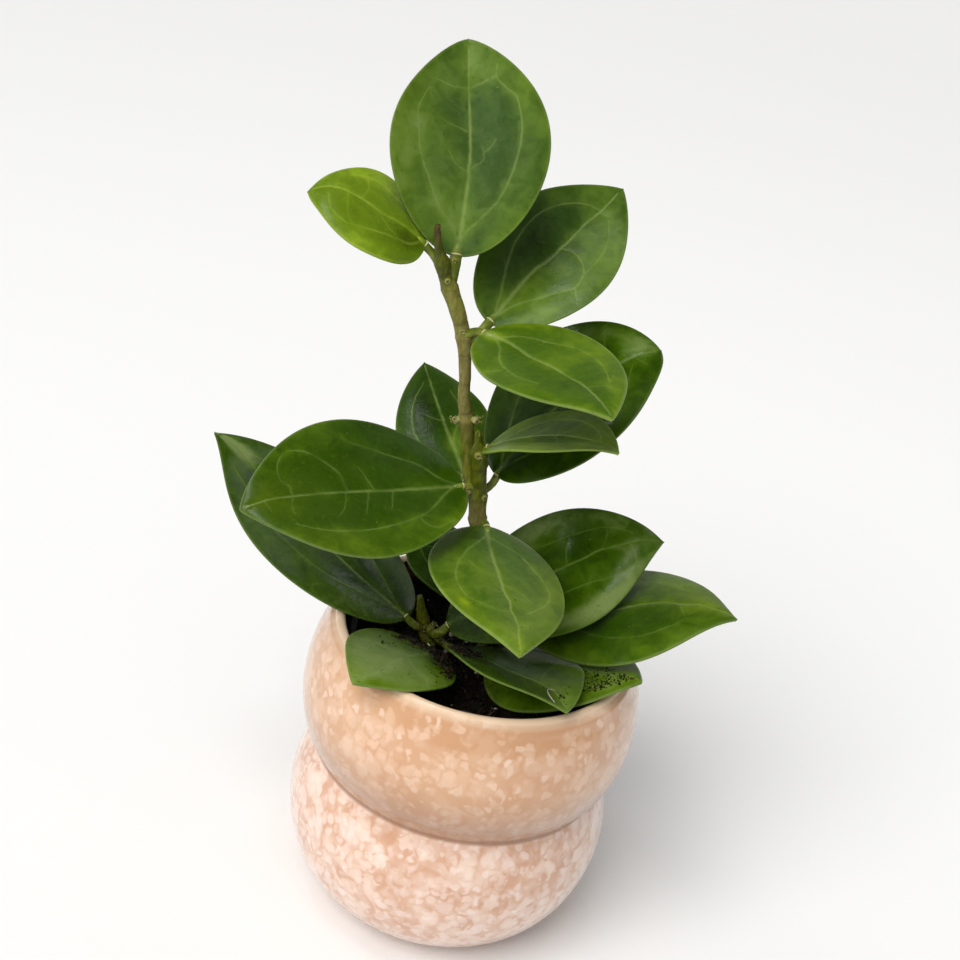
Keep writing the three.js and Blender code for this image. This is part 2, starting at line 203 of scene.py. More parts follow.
def tube(centres, radii, sides, lift=None):
    """Points and faces of a closed round rod; lift(ring, angles) adds to its radii."""
    centres = np.asarray(centres, float)
    count = len(centres)
    along = unit(np.gradient(centres, axis=0))
    first = np.cross(along[0], (0, 0, 1) if abs(along[0][2]) < 0.9 else (0, 1, 0))
    normal = unit(first)
    angles = np.linspace(0, 2 * np.pi, sides, endpoint=False)
    rings = []
    for i in range(count):
        normal = unit(normal - along[i] * (normal @ along[i]))
        across = np.cross(along[i], normal)
        radius = np.full(sides, float(radii[i]))
        if lift is not None:
            radius = radius + lift(i, angles)
        ring = np.outer(np.cos(angles) * radius, normal) + np.outer(np.sin(angles) * radius, across)
        rings.append(centres[i] + ring)
    points = np.vstack([*rings, centres[:1], centres[-1:]])
    rows = numbered(count, sides)
    faces = joined(rows)
    for j in range(sides):
        k = (j + 1) % sides
        faces.append((k, j, count * sides))
        faces.append((rows[-1][j], rows[-1][k], count * sides + 1))
    return points, faces


def per_point(values, sides):
    """Values for the points of a tube, from one value a ring."""
    return np.concatenate([np.repeat(values, sides), values[:1], values[-1:]])


def ball(detail):
    """Points and faces of an icosphere of radius 1."""
    shape = bmesh.new()
    bmesh.ops.create_icosphere(shape, subdivisions=detail, radius=1)
    points = np.array([vertex.co for vertex in shape.verts])
    faces = [tuple(vertex.index for vertex in face.verts) for face in shape.faces]
    shape.free()
    return points, faces


# Material tools

def colour(red, green, blue):
    """Linear colour from the screen values 0 to 255."""
    screen = np.array([red, green, blue]) / 255
    linear = np.where(screen <= 0.04045, screen / 12.92, ((screen + 0.055) / 1.055) ** 2.4)
    return (*linear.tolist(), 1.0)


class Graph:
    """The nodes of a material or of the world, and short ways to add them."""

    def __init__(self, owner):
        owner.use_nodes = True
        self.owner = owner
        self.tree = owner.node_tree
        self.coordinates = self.add("ShaderNodeTexCoord").outputs
        self.place = self.coordinates["Object"]

    def put(self, socket, value):
        if isinstance(value, bpy.types.NodeSocket):
            self.tree.links.new(value, socket)
        else:
            socket.default_value = value

    def add(self, kind, inputs=None, **settings):
        node = self.tree.nodes.new(kind)
        for key, value in settings.items():
            setattr(node, key, value)
        for key, value in (inputs or {}).items():
            self.put(node.inputs[key], value)
        return node

    def axes(self, vector):
        return self.add("ShaderNodeSeparateXYZ", {"Vector": vector}).outputs

    def value(self, name):
        """A point attribute of the mesh."""
        return self.add("ShaderNodeAttribute", attribute_name=name).outputs["Fac"]

    def noise(self, size, detail=2, roughness=0.5, place=None, distortion=0.0, output="Fac"):
        """Noise whose lumps are about size millimetres."""
        return self.add("ShaderNodeTexNoise", {
            "Vector": place or self.place, "Scale": 1 / (size * MM), "Detail": detail,
            "Roughness": roughness, "Distortion": distortion,
        }).outputs[output]

    def cells(self, size, place=None, feature="F1"):
        """Cells about size millimetres wide."""
        inputs = {"Vector": place or self.place, "Scale": 1 / (size * MM)}
        return self.add("ShaderNodeTexVoronoi", inputs, feature=feature).outputs

    def scaled(self, *scale):
        """The place, stretched along each axis where its scale is under 1."""
        return self.add("ShaderNodeMapping", {"Vector": self.place, "Scale": scale}).outputs["Vector"]

    def ramp(self, value, low, high, start=0.0, end=1.0):
        """value from low to high becomes start to end, clamped."""
        return self.add("ShaderNodeMapRange", {
            "Value": value, "From Min": low, "From Max": high, "To Min": start, "To Max": end,
        }, interpolation_type="SMOOTHSTEP").outputs["Result"]

    def math(self, operation, a, b=0.0):
        node = self.add("ShaderNodeMath", operation=operation)
        self.put(node.inputs[0], a)
        self.put(node.inputs[1], b)
        return node.outputs[0]

    def mix(self, factor, a, b, blend="MIX"):
        node = self.add("ShaderNodeMix", data_type="RGBA", blend_type=blend)
        for index, value in ((0, factor), (6, a), (7, b)):
            self.put(node.inputs[index], value)
        return node.outputs[2]

    def between(self, factor, a, b):
        """A plain value from a to b."""
        return self.add("ShaderNodeMix", {"Factor": factor, "A": a, "B": b}).outputs["Result"]

    def chain(self, operation, values):
        result = values[0]
        for value in values[1:]:
            result = self.math(operation, result, value)
        return result

    def plus(self, *values):
        return self.chain("ADD", values)

    def times(self, *values):
        return self.chain("MULTIPLY", values)

    def over(self, base, *layers):
        """Tints laid over base in turn, each by the product of its shares."""
        for tint, *shares in layers:
            base = self.mix(self.times(*shares), base, tint)
        return base

    def bump(self, height, distance, strength=1.0, below=None):
        """Bump of height times distance in millimetres."""
        inputs = {"Height": height, "Distance": distance * MM, "Strength": strength}
        if below is not None:
            inputs["Normal"] = below
        return self.add("ShaderNodeBump", inputs).outputs["Normal"]

    def finish(self, shader="Principled BSDF", **inputs):
        for key, value in inputs.items():
            self.put(self.tree.nodes[shader].inputs[key.replace("_", " ")], value)
        return self.owner


# Leaf finishes

# Pale grey-green of the lightest places: partly the blade's own paleness, mostly painted sheen
PALE_AND_SHEEN_GREEN = colour(150, 166, 104)
RIPE_TINT = colour(156, 174, 12)
STALK_DARK = colour(80, 92, 16)
STALK_LIGHT = colour(128, 134, 50)
JOINT_TINT = colour(196, 196, 140)
SPOT_TINT = colour(22, 30, 8)
DIRT_TINT = colour(34, 34, 16)
# Grey-green of a painted sheen, which stands in for light reflected off the blade
PAINTED_SHEEN_TINT = colour(104, 128, 84)


def leaf_mottle(g, broad, patch):
    """How light the blade is at each place, from about -1 to 2, painted light and shade included."""
    return g.plus(
        g.ramp(broad, 0.3, 0.7, 0.1, 0.6), g.ramp(patch, 0.3, 0.72, -0.15, 0.2),
        g.times(g.value("heart"), -0.4), g.times(g.value("halo"), 0.22), g.value("tone"),
    )


def leaf_specks(g):
    """Layers of rare pale and dark dots."""
    speck = g.cells(3.6)
    dot = g.ramp(speck["Distance"], 0.02, 0.06, 1.0, 0.0)
    pick = g.math("FRACT", g.times(speck["Color"], 7.0))
    pale = (JOINT_TINT, dot, g.ramp(pick, 0.84, 0.86, 0.0, 0.5))
    return pale, (SPOT_TINT, dot, g.ramp(pick, 0.0, 0.1, 0.6, 0.0))


def leaf_material(name, deep, light, vein, gloss):
    g = Graph(bpy.data.materials.new(name))
    # pale paints the lightest places, partly the blade's own paleness and mostly painted sheen;
    pale = tuple(0.55 * part + 0.45 * other for part, other in zip(light, PALE_AND_SHEEN_GREEN))
    # shade paints painted shade and shadow where the tone is low
    shade = tuple(0.35 * part for part in deep[:3]) + (1.0,)
    broad = g.noise(19, 2)
    patch = g.noise(6, 2, distortion=0.8)
    flecks = g.noise(1.7, 4, 0.65)
    mottle = leaf_mottle(g, broad, patch)
    base = g.over(
        g.mix(g.ramp(mottle, -0.3, 1.1), deep, light),
        (pale, g.ramp(mottle, 0.6, 1.9)),
        (shade, g.ramp(mottle, -1.3, -0.2, 1.0, 0.0)),
        # painted sheen: a grey-green veil that stands in for reflected light
        (PAINTED_SHEEN_TINT, g.value("bloom"), g.ramp(patch, 0.35, 0.65, 0.5, 1.0)),
        (light, g.value("under"), 0.5),
        (RIPE_TINT, g.value("ripe")),
        (vein, g.value("vein"), g.ramp(g.noise(7, 2), 0.3, 0.6, 0.4, 1.0)),
        (vein, g.value("edge"), 0.3),
        (g.mix(g.ramp(patch, 0.3, 0.7), STALK_DARK, STALK_LIGHT), g.value("stalk")),
        (JOINT_TINT, g.value("pale")),
        (DIRT_TINT, g.value("dirt"), g.ramp(g.noise(1.6, 4, 0.65), 0.62, 0.4)),
        *leaf_specks(g),
        (shade, g.ramp(flecks, 0.56, 0.72, 0.0, 0.3)),
        (light, g.ramp(flecks, 0.44, 0.28, 0.0, 0.22)),
    )
    fine = g.bump(flecks, 0.05, 0.6, g.bump(g.noise(0.55, 2), 0.02, 0.5))
    wax = g.ramp(broad, 0.3, 0.7, gloss - 0.05, gloss + 0.08)
    return g.finish(
        Base_Color=base, Roughness=g.plus(wax, g.times(g.value("under"), 0.15)),
        Normal=g.bump(g.noise(4.5, 3, 0.6), 0.2, 0.75, fine), Specular_IOR_Level=0.36,
        Subsurface_Weight=0.05, Subsurface_Radius=(0.4, 1.0, 0.15), Subsurface_Scale=0.9 * MM,
    )


LEAF_FINISH = {
    "leaf_young": leaf_material(
        "young_leaf", colour(88, 116, 6), colour(146, 172, 30), colour(166, 186, 66), 0.34),
    "leaf_fresh": leaf_material(
        "fresh_leaf", colour(64, 94, 2), colour(108, 134, 16), colour(150, 168, 92), 0.32),
    "leaf_mature": leaf_material(
        "mature_leaf", colour(44, 72, 1), colour(90, 118, 12), colour(128, 148, 78), 0.3),
    "leaf_dark": leaf_material(
        "dark_leaf", colour(26, 50, 0), colour(62, 90, 4), colour(100, 122, 52), 0.19),
}


# Leaves

# The stalk starts at "from" and the blade at "at", in millimetres. The blade points along heading and
# rise and is turned by roll; bend, sweep, twist, fold and hook are angles in degrees too. Cup raises the
# edges, belly and taper shape the outline, and ribs, tone, dirt and the amount of painted sheen belong to
# the looks. Tone is partly the leaf's own lightness and partly painted light and shade.
LEAVES = {
    "leaf_top": {
        "slot": "leaf_mature", "tone": -0.05, "stalk": 2.1, "bloom": 0.22,
        "from": (-37.5, -0.5, 252), "at": (-37.3, 1.3, 262), "heading": 109, "rise": 62, "roll": 10,
        "length": 73, "width": 55, "bend": 6, "fold": 16, "cup": 0.25, "hook": 6, "belly": 0.49,
        "taper": 0.74, "twist": -6, "sweep": 11,
    },
    "leaf_young": {
        "slot": "leaf_young", "ribs": 0.65,
        "from": (-42, -2, 259.5), "at": (-47.8, -3, 264.8), "heading": 192, "rise": 18, "roll": 30,
        "length": 44, "width": 36, "bend": 46, "cup": -0.15, "hook": 42, "belly": 0.43, "taper": 0.7,
        "twist": 5, "sweep": 5,
    },
    "leaf_upper_right": {
        "slot": "leaf_mature", "tone": -0.1, "stalk": 1.8, "bloom": 0.1,
        "from": (-29, 1, 232), "at": (-22, 5, 240), "heading": 51, "rise": 37, "roll": -25,
        "length": 73, "width": 46, "fold": 12, "cup": -0.05, "hook": 9, "taper": 0.85, "sweep": -4,
    },
    "leaf_light_right": {
        "slot": "leaf_fresh", "ribs": 0.65,
        "from": (-29.5, -1, 236), "at": (-23, -4, 239), "heading": -50, "rise": 3, "roll": -15,
        "length": 70, "width": 42, "fold": 3, "cup": -0.1, "hook": 30, "belly": 0.45, "taper": 0.82,
        "twist": 6, "sweep": -28,
    },
    "leaf_back_right": {
        "slot": "leaf_dark",
        "from": (-13, 0, 177), "at": (-8, 4, 183.5), "heading": 19, "rise": 48, "roll": -22,
        "length": 76, "width": 57, "bend": 31, "fold": 6, "cup": -0.06, "hook": 27, "belly": 0.51,
        "taper": 0.6, "sweep": -24,
    },
    "leaf_curled": {
        "slot": "leaf_fresh", "tone": -0.1,
        "from": (-16, -3, 195), "at": (-13.3, -4.5, 197.3), "heading": -27, "rise": 23, "roll": -8,
        "length": 53, "width": 35, "bend": 36, "fold": 9, "hook": 28, "belly": 0.46, "taper": 0.86,
        "sweep": -9,
    },
    "leaf_back_left": {
        "slot": "leaf_mature", "tone": -0.2,
        "from": (-14, 0, 176), "at": (-18.5, 6, 177), "heading": 116, "rise": 19, "roll": 25,
        "length": 64, "width": 36, "bend": 10, "fold": -4, "cup": -0.2, "hook": 10, "belly": 0.44,
        "taper": 0.86, "twist": -8, "sweep": -9,
    },
    "leaf_big_left": {
        "slot": "leaf_mature", "tone": -0.05, "stalk": 1.35, "ribs": 0.75,
        "from": (-14, -1.5, 178), "at": (-18.8, -5, 181), "heading": 214, "rise": 0, "roll": 25,
        "length": 84, "width": 58, "fold": 6, "hook": 24, "belly": 0.47, "taper": 0.81, "twist": 12,
        "sweep": 10,
    },
    "leaf_front": {
        "slot": "leaf_fresh", "bloom": 0.14, "ribs": 0.8,
        "from": (-11.5, 0, 166), "at": (-8, -5.5, 167), "heading": -74, "rise": -4, "roll": 7,
        "length": 70, "width": 49, "cup": -0.18, "hook": 33, "belly": 0.43, "taper": 0.87, "twist": 8,
        "sweep": 4,
    },
    "leaf_far_left": {
        "slot": "leaf_dark", "tone": -0.05, "dirt": 0.5,
        "from": (-23.5, 6.5, 111), "at": (-30, 0.5, 118), "heading": 157, "rise": 25, "roll": 4,
        "length": 106, "width": 58, "bend": -18, "fold": 4, "cup": -0.06, "hook": 34, "belly": 0.48,
        "taper": 0.98, "twist": -3, "sweep": 4,
    },
    "leaf_arched_right": {
        "slot": "leaf_dark", "tone": 0.1, "stalk": 1.9, "dirt": 0.5,
        "from": (-21.5, 6, 112), "at": (-14, -1, 119), "heading": 14, "rise": 33, "roll": -21,
        "length": 90, "width": 54, "bend": 19, "cup": -0.15, "hook": 46, "belly": 0.49, "taper": 0.93,
        "twist": -23, "sweep": -12,
    },
    "leaf_far_right": {
        "slot": "leaf_mature", "tone": 0.05, "ribs": 0.8,
        "from": (2.5, 15, 113), "at": (14, 5, 123.5), "heading": -12, "rise": 24, "roll": -12.5,
        "length": 83, "width": 55, "bend": 17, "fold": -4, "cup": -0.22, "hook": 35, "belly": 0.5,
        "taper": 0.96, "twist": 18, "sweep": -20,
    },
    "leaf_rim_left": {
        "slot": "leaf_mature", "tone": 0.1, "dirt": 0.9,
        "from": (-20.5, 5.5, 107), "at": (-20, -8, 112.5), "heading": 246, "rise": 14, "roll": 5,
        "length": 55, "width": 41, "bend": 20, "fold": 2, "cup": -0.14, "hook": 24, "belly": 0.42,
        "taper": 0.79, "sweep": -9,
    },
    "leaf_rim_centre": {
        "slot": "leaf_mature", "tone": -0.1, "dirt": 0.9,
        "from": (-19, 7, 109.2), "at": (-9, -4, 112), "heading": -48, "rise": 16, "roll": 11,
        "length": 65, "width": 48, "bend": 8, "fold": 9, "cup": 0.1, "hook": 36, "belly": 0.53,
        "taper": 0.86, "twist": -9, "sweep": -8,
    },
    "leaf_rim_right": {
        "slot": "leaf_mature", "tone": 0.1, "dirt": 0.7,
        "from": (4, 15.5, 108), "at": (5, 0, 111), "heading": -29, "rise": 20, "roll": -10,
        "length": 64, "width": 50, "bend": -8, "fold": -3, "cup": -0.25, "hook": 22, "belly": 0.4,
        "taper": 0.76, "twist": 10, "sweep": -7,
    },
    "leaf_low_back": {
        "slot": "leaf_dark", "tone": -0.1, "dirt": 0.6,
        "from": (1.5, 14, 117), "at": (-4, 20, 118.5), "heading": 125, "rise": 12, "roll": 0,
        "length": 52, "width": 38, "bend": 8, "cup": -0.1,
    },
}
DEFAULT_LEAF = {
    "bend": 0, "fold": 0, "cup": 0, "hook": 20, "belly": 0.47, "taper": 0.85, "twist": 0, "sweep": 0,
    "stalk": 1.5, "tone": 0, "dirt": 0, "bloom": 0, "ribs": 1,
}

# Veins: half widths at both ends in millimetres and strength of each kind
VEIN_KINDS = {"mid": (1.3, 0.48, 0.7), "side": (0.85, 0.42, 0.42), "fine": (0.6, 0.36, 0.3)}

# Each vein's kind and the points it runs through: percent of the length, percent of the half width
USUAL_SIDE = [
    ("side", (4, 3), (14, 28), (28, 50), (45, 60), (62, 62), (75, 53), (82, 30), (84, 2)),
    ("fine", (30, 0), (40, 20), (44, 42)),
    ("fine", (52, 0), (60, 25), (63, 48)),
    ("fine", (75, 53), (85, 60), (90, 50)),
]
USUAL_VEINS = [
    ("mid", (0, 0), (30, 2), (60, -1), (80, 1), (97, 0)), *USUAL_SIDE,
    *[(kind, *[(t + 2, -v) for t, v in route]) for kind, *route in USUAL_SIDE],
]
VEINS = {
    "leaf_top": [
        ("mid", (0, 0), (26, 3), (50, 3), (67, 0), (81, -2), (95, -3)),
        ("side", (5, -3), (12, -12), (20, -38), (35, -52), (43, -60), (56, -66), (65, -72), (70, -70),
         (74, -68)),
        ("side", (5, 3), (10, 10), (17, 30), (27, 50), (41, 59), (57, 66), (66, 68), (73, 69),
         (76, 60), (82, 51), (87, 66)),
        ("side", (82, 51), (79, 19), (77, -2), (77, -31), (79, -60)),
        ("fine", (57, 0), (59, -19), (60, -29), (62, -42)),
        ("fine", (39, 0), (42, -15), (47, -24)),
        ("fine", (40, 5), (45, 21), (50, 18)),
        ("fine", (47, 19), (50, 28), (53, 33)),
    ],
    "leaf_young": [
        ("mid", (0, 0), (23, 1), (43, -3), (61, 8), (77, 20), (86, 22), (95, 12)),
        ("side", (6, 3), (15, 15), (24, 44), (38, 55), (53, 70), (68, 72)),
        ("side", (6, -10), (15, -40), (25, -42), (43, -49), (55, -57), (68, -66), (80, -55),
         (84, -12)),
        ("fine", (71, 16), (69, -21), (67, -46), (62, -60)),
        ("fine", (48, 0), (38, -22), (25, -42)),
        ("fine", (60, 10), (57, 40), (60, 70)),
    ],
    "leaf_upper_right": [
        ("mid", (0, 0), (20, -4), (34, -5), (47, 0), (64, 1), (73, 0), (81, 5), (87, 6), (96, -3)),
        ("side", (4, 3), (15, 18), (23, 36), (32, 51), (40, 65), (48, 59), (53, 44), (55, 20),
         (53, 2)),
        ("side", (4, -3), (15, -25), (30, -48), (45, -60), (60, -64), (72, -55), (80, -30), (82, 0)),
        ("fine", (40, 65), (33, 90)),
        ("fine", (81, 5), (82, 36)),
        ("fine", (48, 59), (58, 62), (70, 60), (80, 40)),
    ],
    "leaf_light_right": [
        ("mid", (0, 0), (11, 0), (18, 1), (27, 7), (35, 10), (49, 6), (64, 4), (70, 0), (86, 0),
         (97, 0)),
        ("side", (8, 0), (18, 30), (27, 55), (38, 64), (49, 65), (60, 58)),
        ("side", (10, -2), (18, -30), (32, -42), (45, -60), (60, -65), (75, -58)),
        ("fine", (30, 90), (33, 80), (35, 73), (36, 64)),
        ("fine", (75, 0), (78, -41), (81, -55)),
    ],
    "leaf_back_right": [
        ("mid", (0, 0), (30, 2), (60, 0), (97, 0)),
        ("side", (5, -3), (20, -35), (40, -60), (58, -75), (67, -76), (71, -66), (77, -39), (78, -25),
         (80, -2)),
        ("side", (5, 3), (20, 35), (40, 58), (60, 62), (76, 50), (84, 20)),
        ("side", (80, -2), (86, -5), (90, -12), (95, -25)),
        ("fine", (86, -5), (90, 35)),
        ("fine", (77, -39), (79, -61), (82, -88)),
    ],
    "leaf_back_left": [
        ("mid", (0, 0), (6, 6), (15, 7), (39, 4), (68, 4), (85, 3), (96, 0)),
        ("fine", (47, 3), (50, -10), (56, -30)),
        ("side", (6, 6), (32, 12), (42, 31), (55, 49), (70, 50)),
        ("side", (5, 0), (15, -30), (30, -52), (50, -62), (70, -52), (80, -25)),
    ],
    "leaf_big_left": [
        ("mid", (0, 0), (12, -4), (30, -4), (48, -2), (66, 1), (79, 2), (87, 4), (96, 2)),
        ("side", (6, -7), (14, -32), (19, -45), (24, -52), (37, -57), (53, -60), (70, -62), (80, -60)),
        ("side", (3, 3), (10, 18), (18, 41), (29, 50), (38, 58), (47, 68), (49, 74)),
        ("side", (54, 0), (55, 24), (60, 44), (66, 64), (73, 78), (77, 79), (80, 69), (81, 58)),
        ("fine", (27, -56), (25, -71), (22, -82), (12, -90)),
        ("fine", (78, 3), (78, 20), (81, 40), (81, 58)),
        ("fine", (78, 0), (80, -20), (80, -32)),
        ("fine", (55, -2), (58, -24), (61, -34)),
        ("fine", (45, -4), (48, -24), (50, -36)),
        ("fine", (90, 3), (89, -32)),
        ("fine", (34, -5), (38, -34)),
        ("fine", (42, -2), (44, 18), (46, 31)),
    ],
    "leaf_front": [
        ("mid", (0, 0), (7, 3), (27, 3), (45, 1), (58, 0), (63, -4), (71, -2), (76, -6), (82, -8),
         (90, -2), (97, 0)),
        ("side", (6, 4), (10, 8), (18, 31), (25, 45), (37, 59), (45, 65), (53, 68), (64, 68)),
        ("side", (10, 3), (16, -26), (22, -49), (33, -61), (45, -74), (53, -74), (60, -66), (66, -50),
         (71, -32)),
        ("fine", (31, 53), (33, 43), (38, 35), (41, 28)),
        ("fine", (71, -2), (72, 15), (70, 40), (64, 68)),
        ("fine", (81, -8), (80, -35)),
        ("fine", (50, 0), (55, -25), (60, -40)),
    ],
    "leaf_far_left": [
        ("mid", (0, 0), (10, -2), (30, -3), (60, 0), (80, -2), (96, -2)),
        ("side", (4, 3), (15, 30), (35, 50), (55, 55), (72, 48), (84, 25)),
        ("side", (4, -3), (15, -28), (35, -50), (60, -57), (75, -54), (84, -60)),
        ("fine", (45, 0), (52, 20), (56, 40)),
        ("fine", (62, 0), (68, -25), (71, -45)),
    ],
    "leaf_arched_right": [
        ("mid", (0, 0), (20, 3), (40, 6), (56, 3), (65, 1), (72, -4), (78, -2), (89, -3), (97, 0)),
        ("side", (5, 3), (20, 30), (40, 42), (65, 45), (72, 53), (79, 60), (85, 60)),
        ("side", (5, -3), (20, -30), (40, -45), (62, -45), (78, -52), (87, -35)),
        ("fine", (73, -4), (76, -24), (78, -52)),
        ("fine", (57, 1), (59, -25), (62, -45)),
        ("fine", (85, 0), (85, 39), (85, 60)),
    ],
    "leaf_far_right": [
        ("mid", (0, 0), (20, 8), (38, 12), (56, 1), (65, -4), (78, -2), (82, -8), (88, 0), (97, 0)),
        ("fine", (74, -2), (77, 24)),
        ("fine", (40, -52), (55, -60), (68, -62), (71, -56), (75, -56)),
        ("fine", (6, 3), (20, 30), (40, 55), (60, 60), (75, 50)),
        ("fine", (6, -3), (20, -30), (40, -52)),
    ],
    "leaf_rim_left": [
        ("mid", (0, 0), (10, -10), (20, -20), (32, -12), (49, -5), (65, -6), (81, -15), (94, -15)),
        ("side", (40, -8), (45, 19), (48, 45), (50, 64)),
        ("side", (43, -8), (52, -44), (54, -70), (60, -88)),
    ],
    "leaf_rim_centre": [
        ("mid", (0, 0), (30, 8), (50, 10), (60, 0), (71, -6), (82, -7), (95, -5)),
        ("fine", (70, -7), (62, -36), (58, -66)),
        ("fine", (60, 0), (72, 30), (81, 53), (88, 80)),
    ],
}


# Lighter and darker places, most of them painted light and shade: painted shadows of other leaves,
# painted sheen and painted shade, with some of the leaf's own tone. Share of the length, share of the
# half width, reach along, amount, and reach across where it isn't the usual breadth
SHADE_BREADTH = 2.4
PAINTED_LIGHT_AND_TONE = {
    "leaf_top": [(0.53, -0.8, 0.25, 0.6), (0.2, -0.2, 0.2, 0.8), (0.92, 0.0, 0.15, 0.3),
                 (0.52, 0.3, 0.16, -0.4)],
    "leaf_young": [(0.7, 0.0, 0.6, -0.35), (0.95, 0.0, 0.2, -0.5), (0.2, -0.3, 0.25, -0.8)],
    # the dark place on the upper side is a painted shadow of the top leaf
    "leaf_upper_right": [(0.42, -0.6, 0.26, -0.75), (0.32, 0.2, 0.2, 0.7), (0.64, 0.2, 0.14, 0.4),
                         (0.18, 0.6, 0.15, 0.5), (0.12, -0.1, 0.1, 0.4), (0.95, 0.0, 0.12, -0.3)],
    "leaf_light_right": [(0.6, 0.5, 0.2, -0.45), (0.25, -0.1, 0.15, -0.3), (0.9, 0.0, 0.2, -1.0),
                         (0.03, 0.0, 0.09, 1.9)],
    "leaf_back_right": [(0.95, -0.1, 0.12, 0.6), (0.74, -0.4, 0.1, -1.3), (0.62, -0.7, 0.2, 0.6),
                        (0.85, -0.5, 0.15, 0.9)],
    "leaf_back_left": [(0.7, -0.3, 0.3, -0.6), (0.93, 0.0, 0.15, -0.5), (0.2, 0.0, 0.12, 0.3),
                       (0.3, 0.3, 0.12, 0.9)],
    "leaf_big_left": [(0.25, 0.85, 0.25, -0.8), (0.6, 0.2, 0.18, 0.3), (0.75, -0.1, 0.3, -0.55),
                      (0.16, -0.5, 0.15, -0.4)],
    "leaf_far_left": [(0.97, 0.0, 0.13, 2.7), (0.18, -0.62, 0.15, 0.5), (0.4, -0.5, 0.3, 0.2)],
    "leaf_front": [(0.43, 0.25, 0.17, 0.6), (0.12, -0.8, 0.15, -0.5), (0.15, 0.2, 0.15, -0.6),
                   (0.66, -0.4, 0.15, 0.4), (0.41, 0.7, 0.14, -0.5)],
    # the pale band along the lower edge and the light place near the top are painted sheen
    "leaf_arched_right": [(0.69, 0.38, 0.18, 0.4), (0.64, 0.86, 0.24, 1.8, 0.16),
                          (0.8, -0.8, 0.15, 0.4, 0.15), (0.45, -0.7, 0.2, 0.8, 0.35)],
    "leaf_far_right": [(0.3, 0.3, 0.2, -0.7), (0.62, -0.7, 0.22, 0.6), (0.6, 0.7, 0.2, -0.25)],
    "leaf_curled": [(0.3, 0.85, 0.35, 1.0, 0.3), (0.6, -0.2, 0.3, 0.3)],
    # the broad light place is a painted grey sheen
    "leaf_rim_left": [(0.7, 0.1, 0.4, 1.5)],
    "leaf_rim_centre": [(0.85, -0.2, 0.18, 0.8)],
    "leaf_rim_right": [(0.85, 0.2, 0.3, 0.5)],
}

# Yellowed places: share of the length, share of the half width, reach and strength
RIPE = {
    "leaf_front": [(0.68, 0.8, 0.035, 0.6), (1.0, 0.0, 0.1, 0.5)],
    "leaf_big_left": [(1.0, 0.0, 0.3, 0.1), (0.7, -0.9, 0.2, 0.06)],
    "leaf_young": [(0.5, 0.0, 0.6, 0.08)],
    "leaf_far_right": [(0.95, -0.3, 0.25, 0.18)],
}


